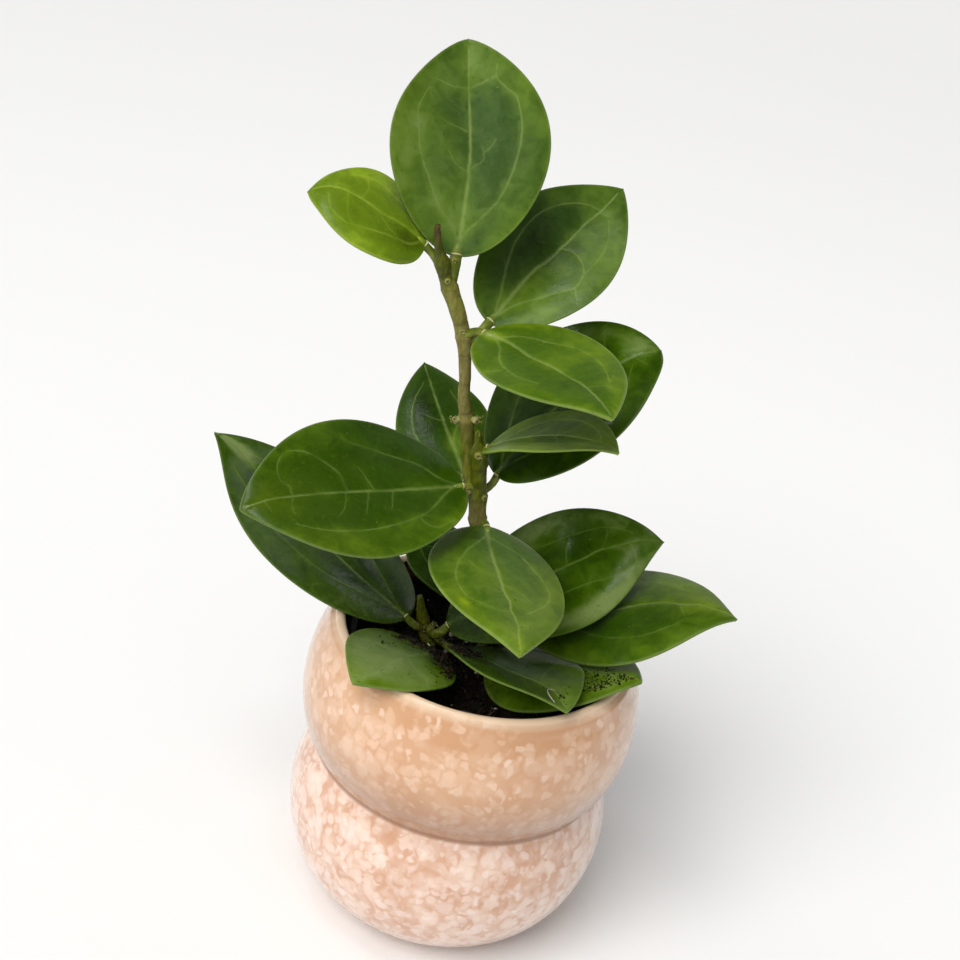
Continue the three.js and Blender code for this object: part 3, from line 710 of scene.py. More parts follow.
class Leaf:
    """The curved surface of one leaf: the same middle line, outline and bends as its solid."""

    def __init__(self, name, values):
        self.name = name
        self.values = {**DEFAULT_LEAF, **values}
        self.length = self.values["length"]
        self.seed = sorted(LEAVES).index(name) + 1
        self.t = np.linspace(0, 1, LEAF_STEPS + 1)
        self.middle, self.forward, self.side, self.normal = self.frames()

    def frames(self):
        v = self.values
        heading, rise, roll = np.radians([v["heading"], v["rise"], v["roll"]])
        along = np.array([np.cos(rise) * np.cos(heading), np.cos(rise) * np.sin(heading), np.sin(rise)])
        level = np.array([np.sin(heading), -np.cos(heading), 0])
        upright = np.cross(level, along)
        side = np.cos(roll) * level + np.sin(roll) * upright
        top = np.cos(roll) * upright - np.sin(roll) * level

        def direction(t):
            hook = np.radians(v["hook"]) * np.clip((t - HOOK_START) / (1 - HOOK_START), 0, 1) ** 2
            pitch = np.radians(v["bend"]) * (0.5 - t) - hook
            yaw = np.radians(v["sweep"]) * (0.5 - t)
            return (
                np.outer(np.cos(pitch) * np.cos(yaw), along) + np.outer(np.sin(pitch), top)
                + np.outer(np.sin(yaw) * np.cos(pitch), side)
            )

        halfway = (self.t[1:] + self.t[:-1]) / 2
        steps = np.cumsum(direction(halfway) * self.length / LEAF_STEPS, axis=0)
        middle = np.array(v["at"]) + np.vstack([np.zeros(3), steps])
        forward = unit(direction(self.t))
        across = unit(side - forward * (forward @ side)[:, None])
        normal = np.cross(across, forward)
        twist = np.radians(v["twist"]) * (self.t - 0.5)
        cos, sin = np.cos(twist)[:, None], np.sin(twist)[:, None]
        return middle, forward, cos * across + sin * normal, cos * normal - sin * across

    def half(self, t):
        """Half width at t, as the solid's outline."""
        v = self.values
        k = math.log(0.5) / math.log(v["belly"])
        swell = np.clip(np.sin(np.pi * np.clip(t, 0, 1) ** k), 0, None)
        return v["width"] / 2 * swell ** (0.5 + (v["taper"] - 0.5) * t)

    def at(self, rows, t):
        return np.stack([np.interp(t, self.t, rows[:, i]) for i in range(3)], 1)

    def place(self, flat, lift=0.0):
        """Points of the blade's middle sheet for flat points, lifted along its normal."""
        t = np.clip(flat[:, 0] / self.length, 0, 1)
        half = np.maximum(self.half(t), LEAST_HALF)
        v = np.clip(flat[:, 1] / half, -1, 1)
        values = self.values
        fold = math.radians(values["fold"])
        ridge = np.sqrt(v * v + FOLD_SOFTNESS) - FOLD_LEVEL
        wave = LEAF_WAVE * v * v * np.sin(3 * np.pi * t + 2 * v + self.length)
        rise = half * (ridge * math.sin(fold) + 0.5 * values["cup"] * v * v)
        rise = rise + wave * half / (values["width"] / 2) + lift
        return (
            self.at(self.middle, t) + self.at(self.side, t) * (flat[:, 1] * math.cos(fold))[:, None]
            + self.at(self.normal, t) * rise[:, None]
        )

    def flat(self, t, v):
        t = np.asarray(t, float)
        return np.stack([t * self.length, np.asarray(v, float) * self.half(t)], -1)

    def veins(self):
        """Centre lines in flat millimetres, each with its half widths at both ends and its strength."""
        rng = np.random.default_rng(self.seed)
        lines = []
        for kind, *route in VEINS.get(self.name, USUAL_VEINS):
            start, end, strength = VEIN_KINDS[kind]
            ends = self.flat(*np.array(route).T / 100)
            length = np.linalg.norm(np.diff(ends, axis=0), axis=1).sum()
            line = curve_through(ends, max(4, int(length / VEIN_STEP)))
            line[1:-1] += rng.normal(0, VEIN_JITTER, line[1:-1].shape)
            lines.append((line, start, end, strength * self.values["ribs"]))
        return lines


def off_line(points, line, start, end):
    """Distance of each point to a line, and the line's half width at the nearest place."""
    a, b = line[:-1], line[1:]
    step = b - a
    reach = (step**2).sum(1)
    away = points[:, None, :] - a[None]
    share = np.clip((away * step).sum(2) / reach, 0, 1)
    distance = np.linalg.norm(away - share[..., None] * step, axis=2)
    near = distance.argmin(1)
    rows = np.arange(len(points))
    along = (near + share[rows, near]) / len(a)
    return distance[rows, near], start + (end - start) * along


def keep_inside(leaf, points, margin):
    """The flat points that keep a margin to the blade's edge."""
    t = points[:, 0] / leaf.length
    room = leaf.half(t) - margin
    return points[(t > 0) & (t < 1) & (np.abs(points[:, 1]) < room)]


def sides_of(line, start, end):
    """The two edges of a vein, beside its centre line."""
    along = unit(np.gradient(line, axis=0))
    across = np.stack([-along[:, 1], along[:, 0]], 1)
    width = np.linspace(start, end, len(line))[:, None]
    return line + across * width, line - across * width


def blade_grid(leaf, veins):
    """Points of even triangles, clear of the veins."""
    across = np.arange(-GRID_REACH, GRID_REACH)
    rows = [
        np.stack([np.full(len(across), x), (across + 0.5 * (i % 2)) * GRID_STEP], 1)
        for i, x in enumerate(np.arange(GRID_STEP, leaf.length, GRID_STEP * TRIANGLE_HEIGHT))
    ]
    grid = keep_inside(leaf, np.vstack(rows), GRID_STEP)
    for line, start, end, _ in veins:
        distance, width = off_line(grid, line, start, end)
        grid = grid[distance > width + VEIN_CLEARANCE]
    return grid


def outward_of(edge, middle):
    """Directions in the flat blade, square to its closed edge and away from a middle point."""
    along = unit(np.roll(edge, -1, axis=0) - np.roll(edge, 1, axis=0))
    outward = np.stack([along[:, 1], -along[:, 0]], 1)
    return outward * np.sign((outward * (edge - middle)).sum(1))[:, None]


def blade_flat(leaf, veins):
    """Triangles of the flat blade, with its veins and their edges as mesh edges."""
    share = 0.5 - 0.5 * np.cos(np.linspace(0, np.pi, OUTLINE_STEPS + 1))
    outline = np.vstack([leaf.flat(share, 1), leaf.flat(share[1:-1][::-1], -1)])
    inward = -outward_of(outline, np.array([leaf.length / 2, 0]))
    rows = [(outline, False, np.inf)]
    for inset in EDGE_ROWS:
        rows.append((keep_inside(leaf, outline + inward * inset, inset * 0.6), False, EDGE_LONGEST))
    for line, start, end, _ in veins:
        for row in (line, *sides_of(line, start, end)):
            rows.append((keep_inside(leaf, row, VEIN_MARGIN), True, 3 * VEIN_STEP))
    points = []
    edges = []
    count = 0
    for row, is_open, longest in rows:
        if len(row) < 2:
            continue
        steps = np.linalg.norm(np.roll(row, -1, axis=0) - row, axis=1)
        for i in range(len(row) - is_open):
            if steps[i] < longest:
                edges.append((count + i, count + (i + 1) % len(row)))
        points.append(row)
        count += len(row)
    points.append(blade_grid(leaf, veins))
    flat = [Vector(p) for p in np.vstack(points)]
    made = delaunay_2d_cdt(flat, edges, [], 1, MERGED_UNDER)
    return np.array([list(p) for p in made[0]]), [tuple(face) for face in made[2]]


def outline_loop(faces):
    """Vertices of the outer edge, in order round the blade."""
    pairs = dict.fromkeys(pair for face in faces for pair in zip(face, face[1:] + face[:1]))
    after = {a: b for a, b in pairs if (b, a) not in pairs}
    start = next(iter(after))
    loop = [start]
    while after[loop[-1]] != start:
        loop.append(after[loop[-1]])
    return loop


def vein_levels(flat, veins):
    """Vein strength at each point, distance to the nearest vein and the share of the midrib."""
    strength = np.zeros(len(flat))
    nearest = np.full(len(flat), np.inf)
    shares = []
    for line, start, end, level in veins:
        distance, width = off_line(flat, line, start, end)
        shares.append(np.clip(1 - distance / width, 0, 1))
        strength = np.maximum(strength, shares[-1] * level)
        nearest = np.minimum(nearest, distance)
    return strength, nearest, shares[0]


def fading(t, v, at_t, at_v, reach_t, reach_v):
    """1 at one place of the blade, fading out round it."""
    return np.exp(-((t - at_t) / reach_t) ** 2 - ((v - at_v) / reach_v) ** 2)


# Tone of each place: the leaf's tone plus the listed spots of painted light and shade
def blade_tone(leaf, t, v):
    tone = np.full(len(t), float(leaf.values["tone"]))
    for at_t, at_v, reach, amount, *across in PAINTED_LIGHT_AND_TONE.get(leaf.name, ()):
        reach_v = across[0] if across else SHADE_BREADTH * reach
        tone += amount * fading(t, v, at_t, at_v, reach, reach_v)
    return tone


def blade_ripeness(leaf, t, v):
    ripe = np.zeros(len(t))
    for at_t, at_v, reach, share in RIPE.get(leaf.name, ()):
        ripe = np.maximum(ripe, share * fading(t, v, at_t, at_v, reach, 2 * reach))
    return ripe


def leaf_piece(name, values):
    leaf = Leaf(name, values)
    veins = leaf.veins()
    flat, faces = blade_flat(leaf, veins)
    count = len(flat)
    strength, nearest, rib = vein_levels(flat, veins)
    t = np.clip(flat[:, 0] / leaf.length, 0, 1)
    signed = flat[:, 1] / np.maximum(leaf.half(t), LEAST_HALF)
    v = np.clip(np.abs(signed), 0, 1)
    thick = LEAF_EDGE_THICK + (LEAF_THICK - LEAF_EDGE_THICK) * (1 - v * v)
    broad = rough_all(np.column_stack([flat, np.zeros(count)]), 13, leaf.seed)
    puff = LEAF_SWELL * broad * (1 - v**4) + LEAF_PILLOW * np.clip(nearest / 4, 0, 1) * (1 - v**6)
    top = leaf.place(flat, thick / 2 + puff - MIDRIB_GROOVE * rib - VEIN_GROOVE * strength)
    bottom = leaf.place(flat, -thick / 2 + puff - MIDRIB_KEEL * rib)
    loop = outline_loop(faces)
    rim_points, rim_faces = rounded_rim(leaf, flat, loop, puff)

    def both(level, rim=0.0, below=1.0):
        """A value for the upper sheet, the lower sheet and the rim."""
        return np.concatenate([level, level * below, np.broadcast_to(rim, len(rim_points))])

    tone = blade_tone(leaf, t, signed)
    dirt = leaf.values["dirt"] * np.clip(1.15 - t / 0.3, 0, 1)
    edge_away = off_line(flat, flat[loop + loop[:1]], 1, 1)[0]
    build = Build("vein", "heart", "halo", "ripe", "edge", "under", "stalk", "pale", "tone", "dirt",
                  "bloom")
    sheets = [face[::-1] for face in faces] + [tuple(i + count for i in face) for face in faces]
    build.add(
        np.vstack([top, bottom, rim_points]), sheets + rim_faces,
        vein=both(strength, below=0.8),
        heart=both(np.clip((0.75 - v) / 0.3, 0, 1) * np.clip((0.85 - t) / 0.15, 0, 1)),
        halo=both(np.clip(1 - nearest / 3.2, 0, 1)),
        ripe=both(blade_ripeness(leaf, t, signed)),
        tone=both(tone, np.tile(tone[loop], 3)),
        dirt=both(dirt, np.tile(dirt[loop], 3)),
        edge=both(np.clip(1 - edge_away / EDGE_ROWS[1], 0, 1), 1.0),
        bloom=both(leaf.values["bloom"] * (1 - v**4)),
        under=np.repeat([0.0, 1.0, 0.3], [count, count, len(rim_points)]),
    )
    add_stalk(build, leaf)
    build.piece("look_" + name, LEAF_FINISH[values["slot"]], [name])


def rounded_rim(leaf, flat, loop, puff):
    """Three rows of points that round the blade's edge, and the faces that join both sheets."""
    edge = flat[loop]
    outward = outward_of(edge, edge.mean(0))
    t = np.clip(edge[:, 0] / leaf.length, 0, 1)
    radius = LEAF_EDGE_THICK / 2
    rows = []
    for degrees in (45, 0, -45):
        out = radius * (math.cos(math.radians(degrees)) - 0.6)
        lift = radius * math.sin(math.radians(degrees))
        moved = leaf.place(edge, lift + puff[loop])
        moved += leaf.at(leaf.forward, t) * (outward[:, :1] * out)
        moved += leaf.at(leaf.side, t) * (outward[:, 1:] * out)
        rows.append(moved)
    count = len(flat)
    between = [[2 * count + i for i in row] for row in numbered(3, len(loop))]
    return np.vstack(rows), joined([loop, *between, [i + count for i in loop]])


STALK_REACH = 4.5
STALK_STEPS = 36
STALK_SIDES = 16
JOINT_RINGS = 15
JOINT_SIDES = 8


def add_stalk(build, leaf):
    """The leaf's stalk, from the middle of the stem to a little way inside the blade."""
    start = np.array(leaf.values["from"], float)
    base = leaf.middle[0]
    lead = np.linalg.norm(base - start) * 0.4
    inside = np.argmax(leaf.t >= STALK_REACH / leaf.length)
    route = [start, base - leaf.forward[0] * lead, base, leaf.middle[inside]]
    centres = curve_through(route, STALK_STEPS)
    k = np.linspace(0, 1, len(centres))
    radius = leaf.values["stalk"] * np.interp(k, [0, 0.35, 0.75, 0.9, 1], [1.1, 0.95, 1.0, 0.66, 0.2])

    def lift(ring, angles):
        return 0.08 * rough_all([(ring * 0.8, 3 * a, 0) for a in angles], 1.6, leaf.seed)

    stalk = per_point(np.interp(k, [0, 0.66, 0.92], [1, 0.85, 0.0]), STALK_SIDES)
    build.add(
        *tube(centres, radius, STALK_SIDES, lift), stalk=stalk, vein=(1 - stalk) * 0.9,
        tone=leaf.values["tone"], dirt=leaf.values["dirt"],
    )
    add_joint(build, leaf)


def add_joint(build, leaf):
    """The pale crescent where the stalk meets the blade, across the top of the joint."""
    middle = leaf.middle[0] + leaf.forward[0] * 0.6
    reach = leaf.values["stalk"] * 1.02
    angles = np.radians(np.linspace(20, 160, JOINT_RINGS))
    arc = [
        middle + (leaf.side[0] * math.cos(a) + leaf.normal[0] * math.sin(a)) * reach for a in angles
    ]
    radii = 0.3 * np.sin(np.linspace(0.12, np.pi - 0.12, JOINT_RINGS)) + 0.04
    build.add(*tube(arc, radii, JOINT_SIDES), stalk=1.0, pale=0.85)


for leaf_name, leaf_values in LEAVES.items():
    leaf_piece(leaf_name, leaf_values)


# Stems

# Points are x, y, z and radius. Nodes are the points that swell. Green and shaded are pairs of the share
# of the length and the amount there, cracks are heights, and tip is how brown the end is. Shaded is
# painted
# shade: how much darker the stem is painted where it lies in shade.
STEMS = {
    "trunk": {
        "points": [
            (4, 17, 76, 2.6), (4, 16.5, 105, 2.9), (1, 13, 122, 3), (-5, 7, 143, 3),
            (-11.5, 0, 166.5, 3.1), (-13.2, -1, 176, 3.3), (-14.5, -2.5, 186, 2.8), (-16, -3, 193.5, 2.9),
            (-16.5, -3, 196.5, 2.7), (-17, -3, 198, 1.5), (-17.5, -3, 200.5, 1.2), (-17.6, -3, 203, 0.7),
        ],
        "nodes": [2, 4, 5, 7],
        "green": [(0, 0.2), (0.55, 0.35), (0.77, 0.3), (0.81, 0.85), (1, 1.0)],
        "shaded": [(0, 0.4), (0.77, 0.4), (0.81, 1.3), (1, 1.3)],
        "tip": 0.0, "cracks": [182, 188.5, 196.6],
    },
    "branch": {
        "points": [
            (-13, 0.5, 171, 2.2), (-17.5, 3, 181, 2.3), (-20.5, 3.5, 193, 2.4), (-22.8, 3, 203, 2.6),
            (-25.3, 1.5, 212, 2.1), (-26.5, 1, 221, 2.1), (-29.4, 0, 234.5, 2.5), (-33.7, -1, 245, 2.8),
            (-37, -1, 251, 2.7), (-41.3, -2, 260, 2.5), (-43.3, -3.5, 265.5, 1.35), (-44.2, -5, 270, 1.2),
            (-44.6, -6, 273.5, 0.9),
        ],
        "nodes": [3, 6, 8, 9],
        "green": [
            (0, 0.8), (0.25, 0.6), (0.33, 0.25), (0.5, 0.15), (0.62, 0.35), (0.79, 0.55), (0.85, 0.9),
            (0.92, 0.8), (1, 0.2),
        ],
        "shaded": [
            (0, 0.5), (0.3, 0.4), (0.35, 0.1), (0.45, 0.4), (0.58, 0), (0.78, 0), (0.83, 1.8),
            (0.9, 1.7), (1, 1),
        ],
        "tip": 0.85, "cracks": [207, 217.6, 227.2, 228.8, 240.5, 256.5],
    },
    "stub": {
        "points": [
            (-18, 5, 82, 2.2), (-20, 6, 104, 2), (-21.7, 6, 109.5, 2.5), (-24, 6, 115.5, 2.3),
            (-25.3, 6, 120, 1.8), (-27, 6, 125.5, 1.1),
        ],
        "nodes": [2, 3],
        "green": [(0, 0.3), (0.6, 0.6), (0.8, 1.0), (1, 0.8)],
        "shaded": [(0, 1.4), (0.8, 1.3), (1, 0.8)],
        "tip": 0.15, "cracks": [113, 117, 121],
    },
}

# Leaf scars and, where the last value is over NUB_FROM, broken stalks: x, y, z and radius
SCARS = {
    "trunk": [
        (-9.5, -1.5, 167.5, 1.4), (-11, -3.4, 177.5, 1.3), (-17.2, -3.2, 190, 1.1),
        (-16, -5.8, 194.6, 1.6),
    ],
    "branch": [
        (-26.2, 1.5, 203.5, 2), (-20, 1.5, 204.8, 1.8), (-30.2, -2.3, 237.6, 1.4),
        (-38.2, -3.7, 254.6, 1.2),
    ],
    "stub": [(-23.6, 3.4, 113.5, 1.9), (-20.5, 7, 112.5, 1.8), (-26.5, 7, 119, 1)],
}

# Torn places with loose flecks: x, y, z and spread
TORN = [(-18.4, -6.4, 181.4, 0.9), (-16.8, -5.6, 179.6, 0.7), (-37.4, -2.4, 262, 0.5)]

NODE_SWELL = 0.35
NODE_LENGTH = 2.2
CRACK_WIDTH = 0.4
CRACK_DEPTH = 0.1
STEM_SIDES = 28
STEM_STEP = 0.7


def stem_material():
    g = Graph(bpy.data.materials.new("stem"))
    streak = g.noise(1.1, 3, 0.55, g.scaled(1, 1, 0.3))
    level = g.noise(1.5, 3, 0.6, g.scaled(0.16, 0.16, 1))
    blotch = g.noise(3.4, 3, 0.6)
    fine = g.noise(0.45, 2)
    bark = g.mix(g.ramp(streak, 0.3, 0.72), colour(120, 110, 52), colour(142, 132, 76))
    bark = g.over(bark, (colour(176, 168, 124), g.ramp(blotch, 0.5, 0.75, 0.0, 0.5)))
    green = g.mix(g.ramp(streak, 0.3, 0.75), colour(82, 92, 2), colour(120, 128, 20))
    green = g.over(green, (colour(136, 132, 40), g.ramp(blotch, 0.55, 0.75, 0.0, 0.3)))
    share = g.ramp(g.plus(g.value("green"), g.ramp(blotch, 0.3, 0.7, -0.15, 0.15)), 0.1, 0.9)
    base = g.over(
        g.mix(share, bark, green),
        (colour(66, 56, 30), g.ramp(level, 0.62, 0.72, 0.0, 0.4)),
        (colour(176, 170, 118), g.value("scar"), g.ramp(fine, 0.3, 0.6, 0.55, 1.0)),
        (colour(60, 50, 24), g.value("crack"), g.ramp(blotch, 0.35, 0.6, 0.3, 0.8)),
        (g.mix(g.ramp(fine, 0.4, 0.6), colour(62, 42, 22), colour(104, 80, 44)), g.value("bud")),
    )
    # Painted shade: the stem's colour is darkened by the shaded value where it lies in shade
    dark = g.mix(0.5, base, colour(20, 30, 2), "MULTIPLY")
    return g.finish(
        Base_Color=g.over(base, (dark, g.value("shaded"), 0.6)), Roughness=0.5,
        Normal=g.bump(streak, 0.05, 0.6, g.bump(fine, 0.04, 0.5)), Specular_IOR_Level=0.3,
    )


def stem_curve(points):
    """Centres and radii along a stem, spaced as in its solid."""
    points = np.array(points, float)
    places, radii = points[:, :3], points[:, 3]
    chord = np.concatenate([[0], np.cumsum(np.linalg.norm(np.diff(places, axis=0), axis=1))])
    centres = curve_through(places, int(chord[-1] / STEM_STEP))
    k = np.linspace(0, 1, len(centres))
    reached = chord / chord[-1]
    return centres, np.interp(k, reached, radii), k, reached


def add_stem(build, key, seed):
    stem = STEMS[key]
    centres, radius, k, reached = stem_curve(stem["points"])
    length = (len(centres) - 1) * STEM_STEP
    crack = np.zeros(len(k))
    for z in stem["cracks"]:
        line = np.exp(-(((centres[:, 2] - z) / CRACK_WIDTH) ** 2))
        crack += 0.8 * line
        radius = radius - CRACK_DEPTH * line
    for n in stem["nodes"]:
        away = (k - reached[n]) * length / NODE_LENGTH
        radius = radius + NODE_SWELL * np.exp(-(away**2)) + 0.18 * np.exp(-((away * 4 - 1.5) ** 2))

    def lift(ring, angles):
        x, y, z = centres[ring]
        bark = [(2.5 * np.cos(a), 2.5 * np.sin(a), z * 0.45) for a in angles]
        bends = [(3 * np.cos(a) + x, 3 * np.sin(a) + y, z) for a in angles]
        return 0.05 * rough_all(bark, 1.3, seed) + 0.1 * rough_all(bends, 4.5, seed + 3)

    levels = {
        "green": np.interp(k, *np.array(stem["green"]).T),
        "shaded": np.interp(k, *np.array(stem["shaded"]).T),
        "bud": np.clip((k - 0.94) / 0.04, 0, 1) * stem["tip"],
        "crack": crack,
    }
    values = {name: per_point(level, STEM_SIDES) for name, level in levels.items()}
    build.add(*tube(centres, radius, STEM_SIDES, lift), **values)
    add_scars(build, key, centres, seed)


NUB_FROM = 1.7
NUB_RINGS = 14
NUB_SIDES = 18
NUB_CRUMBS = 34
SCAR_HOLLOW = 0.93
SCAR_FLECKS = 7
TORN_FLECKS = 26
SCALE_STEPS = 8
SCALE_SIDES = 8


def add_scars(build, key, centres, seed):
    """Old leaf scars: flat rings with a sunken middle, and crumbly stubs where a stalk broke off."""
    points, faces = ball(3)
    for number, (x, y, z, radius) in enumerate(SCARS[key]):
        place = np.array([x, y, z])
        near = centres[np.linalg.norm(centres - place, axis=1).argmin()]
        out = unit(place - near)
        if radius > NUB_FROM:
            add_nub(build, near, place + out * radius * 0.7, radius * 0.62, seed + number)
            continue
        height = points @ out
        away = np.sqrt(np.clip(1 - height**2, 0, 1))
        ring = np.exp(-(((away - 0.62) / 0.2) ** 2)) * (height > 0)
        shaped = points - np.outer(height, out) * 0.45
        shaped = shaped + np.outer(0.22 * ring - 0.2 * (height > SCAR_HOLLOW), out)
        shaped = shaped * radius + place - out * radius * 0.05
        hollow = np.clip((height - SCAR_HOLLOW) * 20, 0, 1)
        build.add(shaped, faces, scar=0.6 * ring * (1 - hollow), bud=hollow * 0.5, green=0.7, shaded=0.3)
        add_flecks(build, place, radius * 0.55, SCAR_FLECKS, seed + number)


def add_nub(build, start, end, size, seed):
    """A short broken stalk with a frayed, crumbly end."""
    reach = np.linalg.norm(end - start)
    k = np.linspace(0, 1, NUB_RINGS)
    centres = start + np.outer(k, end - start) + np.outer(k**2, (0, 0, -0.12 * reach))
    radii = size * np.interp(k, [0, 0.55, 0.85, 1], [0.9, 0.95, 1.15, 0.8])

    def lift(ring, angles):
        rag = 0.12 + 0.5 * (k[ring] > 0.7)
        places = [(4 * math.cos(a), 4 * math.sin(a), ring) for a in angles]
        return rag * size * rough_all(places, 1.5, seed)

    scar = np.repeat(np.interp(k, [0, 0.5, 0.8], [0.15, 0.5, 0.9]), NUB_SIDES)
    build.add(*tube(centres, radii, NUB_SIDES, lift), scar=[*scar, 0.0, 0.5], green=0.8)
    rng = np.random.default_rng(seed)
    shapes = ball(1)
    for _ in range(NUB_CRUMBS):
        place = end + rng.normal(0, size * 0.62, 3)
        lump = shapes[0] * rng.uniform(0.16, 0.42, 3) * size + place
        build.add(lump, shapes[1], scar=rng.uniform(0.1, 0.9), bud=rng.choice([0, 0, 0.4]), green=0.8)


def add_flecks(build, place, spread, count, seed):
    """Tiny crumbs of pale dried tissue."""
    rng = np.random.default_rng(seed)
    points, faces = ball(1)
    for _ in range(count):
        size = rng.uniform(0.1, 0.32, 3)
        moved = points * size + place + rng.normal(0, spread, 3)
        build.add(moved, faces, scar=rng.uniform(0.3, 0.8), green=0.5)


def add_scales(build, tip, along, count, size, seed, brown):
    """Tiny pointed bud scales round a growing tip."""
    rng = np.random.default_rng(seed)
    along = unit(np.array(along, float))
    first = unit(np.cross(along, (1, 0, 0.2)))
    second = np.cross(along, first)
    for i in range(count):
        angle = 2 * np.pi * (i / count + rng.uniform(-0.08, 0.08))
        out = first * np.cos(angle) + second * np.sin(angle)
        base = np.array(tip) - along * size * 0.9 + out * size * 0.25
        end = base + along * size * (1.2 + rng.uniform(0, 0.4)) + out * size * 0.12
        centres = curve_through([base, base + along * size * 0.7 + out * size * 0.3, end], SCALE_STEPS)
        k = np.linspace(0, 1, len(centres))
        radii = size * np.interp(k, [0, 0.4, 1], [0.3, 0.26, 0.04])
        build.add(*tube(centres, radii, SCALE_SIDES), bud=brown, green=0.8, scar=0.15)


STEM_FINISH = stem_material()

main_stem = Build("green", "scar", "bud", "shaded", "crack")
add_stem(main_stem, "trunk", 1)
add_stem(main_stem, "branch", 2)
add_scales(main_stem, (-44.5, -5.8, 272.4), (-0.1, -0.25, 1), 4, 1.6, 5, 0.8)
add_scales(main_stem, (-17.6, -3.2, 202), (-0.1, -0.2, 1), 4, 1.7, 6, 0.1)
for number, (x, y, z, reach) in enumerate(TORN):
    add_flecks(main_stem, np.array([x, y, z]), reach, TORN_FLECKS, 40 + number)
main_stem.piece("look_stem_main", STEM_FINISH, ["stem_main"])

short_stem = Build("green", "scar", "bud", "shaded", "crack")
add_stem(short_stem, "stub", 3)
short_stem.piece("look_stem_stub", STEM_FINISH, ["stem_stub"])


# Ceramic pot

def bulge_radius(bulge, z, inset=0.0):
    half = np.where(z > bulge["z"], bulge["up"], bulge["down"]) - inset
    k = np.clip(np.abs(z - bulge["z"]) / half, 0, 1)
    return bulge["ring"] + (bulge["half_width"] - inset) * np.sqrt(1 - k * k)


def pot_radius(z, inset=0.0):
    """Radius of the pot's wall, with the crease between the bulges slightly softened."""
    lower = bulge_radius(LOWER, z, inset)
    upper = bulge_radius(UPPER, z, inset)
    sharp = np.where(z < CREASE_Z, lower, upper)
    soft = CREASE_SOFTNESS * np.exp(-(((z - CREASE_Z) / CREASE_REACH) ** 2))
    neck = NECK_DEPTH * np.exp(-(((z - NECK_Z) / NECK_REACH) ** 2))
    return sharp + (soft - neck if inset == 0 else -soft)


def pot_profile():
    """Radius and height round the wall: bottom, outside, lip and inside down to the floor."""
    round_lip = POT_WALL / 2
    lip_z = POT_HEIGHT - round_lip
    lip_ring = float(pot_radius(np.array(POT_HEIGHT))) - round_lip
    foot = float(pot_radius(np.array(FOOT_EDGE_Z)))
    bottom = [(foot * 0.5, 0.0), (foot - 1.6, 0.0), (foot - 0.6, 0.35), (foot - 0.1, 0.9)]
    outer_z = [
        *np.linspace(FOOT_EDGE_Z, CREASE_Z - 2, 44), *np.linspace(CREASE_Z - 1.5, CREASE_Z + 1.5, 9),
        *np.linspace(CREASE_Z + 2, lip_z, 36),
    ]
    inner_z = [*np.linspace(lip_z, CREASE_Z, 24), *np.linspace(CREASE_Z - 2, POT_FLOOR, 24)]
    lip = [
        (lip_ring + round_lip * math.cos(a), lip_z + round_lip * math.sin(a))
        for a in np.radians(np.linspace(15, 165, 11))
    ]
    outer = [(float(pot_radius(z)), z) for z in outer_z]
    inner = [(float(pot_radius(z, POT_WALL)), z) for z in inner_z]
    return [*bottom, *outer, *lip, *inner]


def turned(profile, sides):
    """Points and faces of a profile turned round the Z axis."""
    profile = np.array(profile, float)
    angles = np.linspace(0, 2 * np.pi, sides, endpoint=False)
    rings = np.stack([
        np.outer(profile[:, 0], np.cos(angles)), np.outer(profile[:, 0], np.sin(angles)),
        np.repeat(profile[:, 1:], sides, axis=1),
    ], axis=2)
    rows = numbered(len(profile), sides)
    return rings.reshape(-1, 3), [*joined(rows), tuple(rows[0])[::-1], tuple(rows[-1])]


# Flakes: size in millimetres, share of the cells, strength above and below, place in the noise, gap, end
FLAKES = [
    (12.0, 0.3, 0.4, 0.7, 0.051, 0.24, 0.9),
    (8.0, 0.38, 0.5, 0.75, 0.031, 0.18, 0.85),
    (6.4, 0.42, 0.6, 0.65, 0.067, 0.16, 0.7),
    (4.9, 0.42, 0.7, 0.65, 0.012, 0.15, 0.6),
    (3.7, 0.4, 0.75, 0.6, 0.094, 0.12, 0.56),
    (4.4, 0.18, 1.0, 0.7, 0.123, 0.12, 0.5),
]


def bent_place(g):
    """The place, pushed about by soft noise so that no flake keeps straight sides."""
    bent = g.add("ShaderNodeMix", data_type="VECTOR")
    for index, value in ((0, 0.0035), (4, g.place), (5, g.noise(3.4, 1, 0.5, output="Color"))):
        g.put(bent.inputs[index], value)
    return bent.outputs[1]


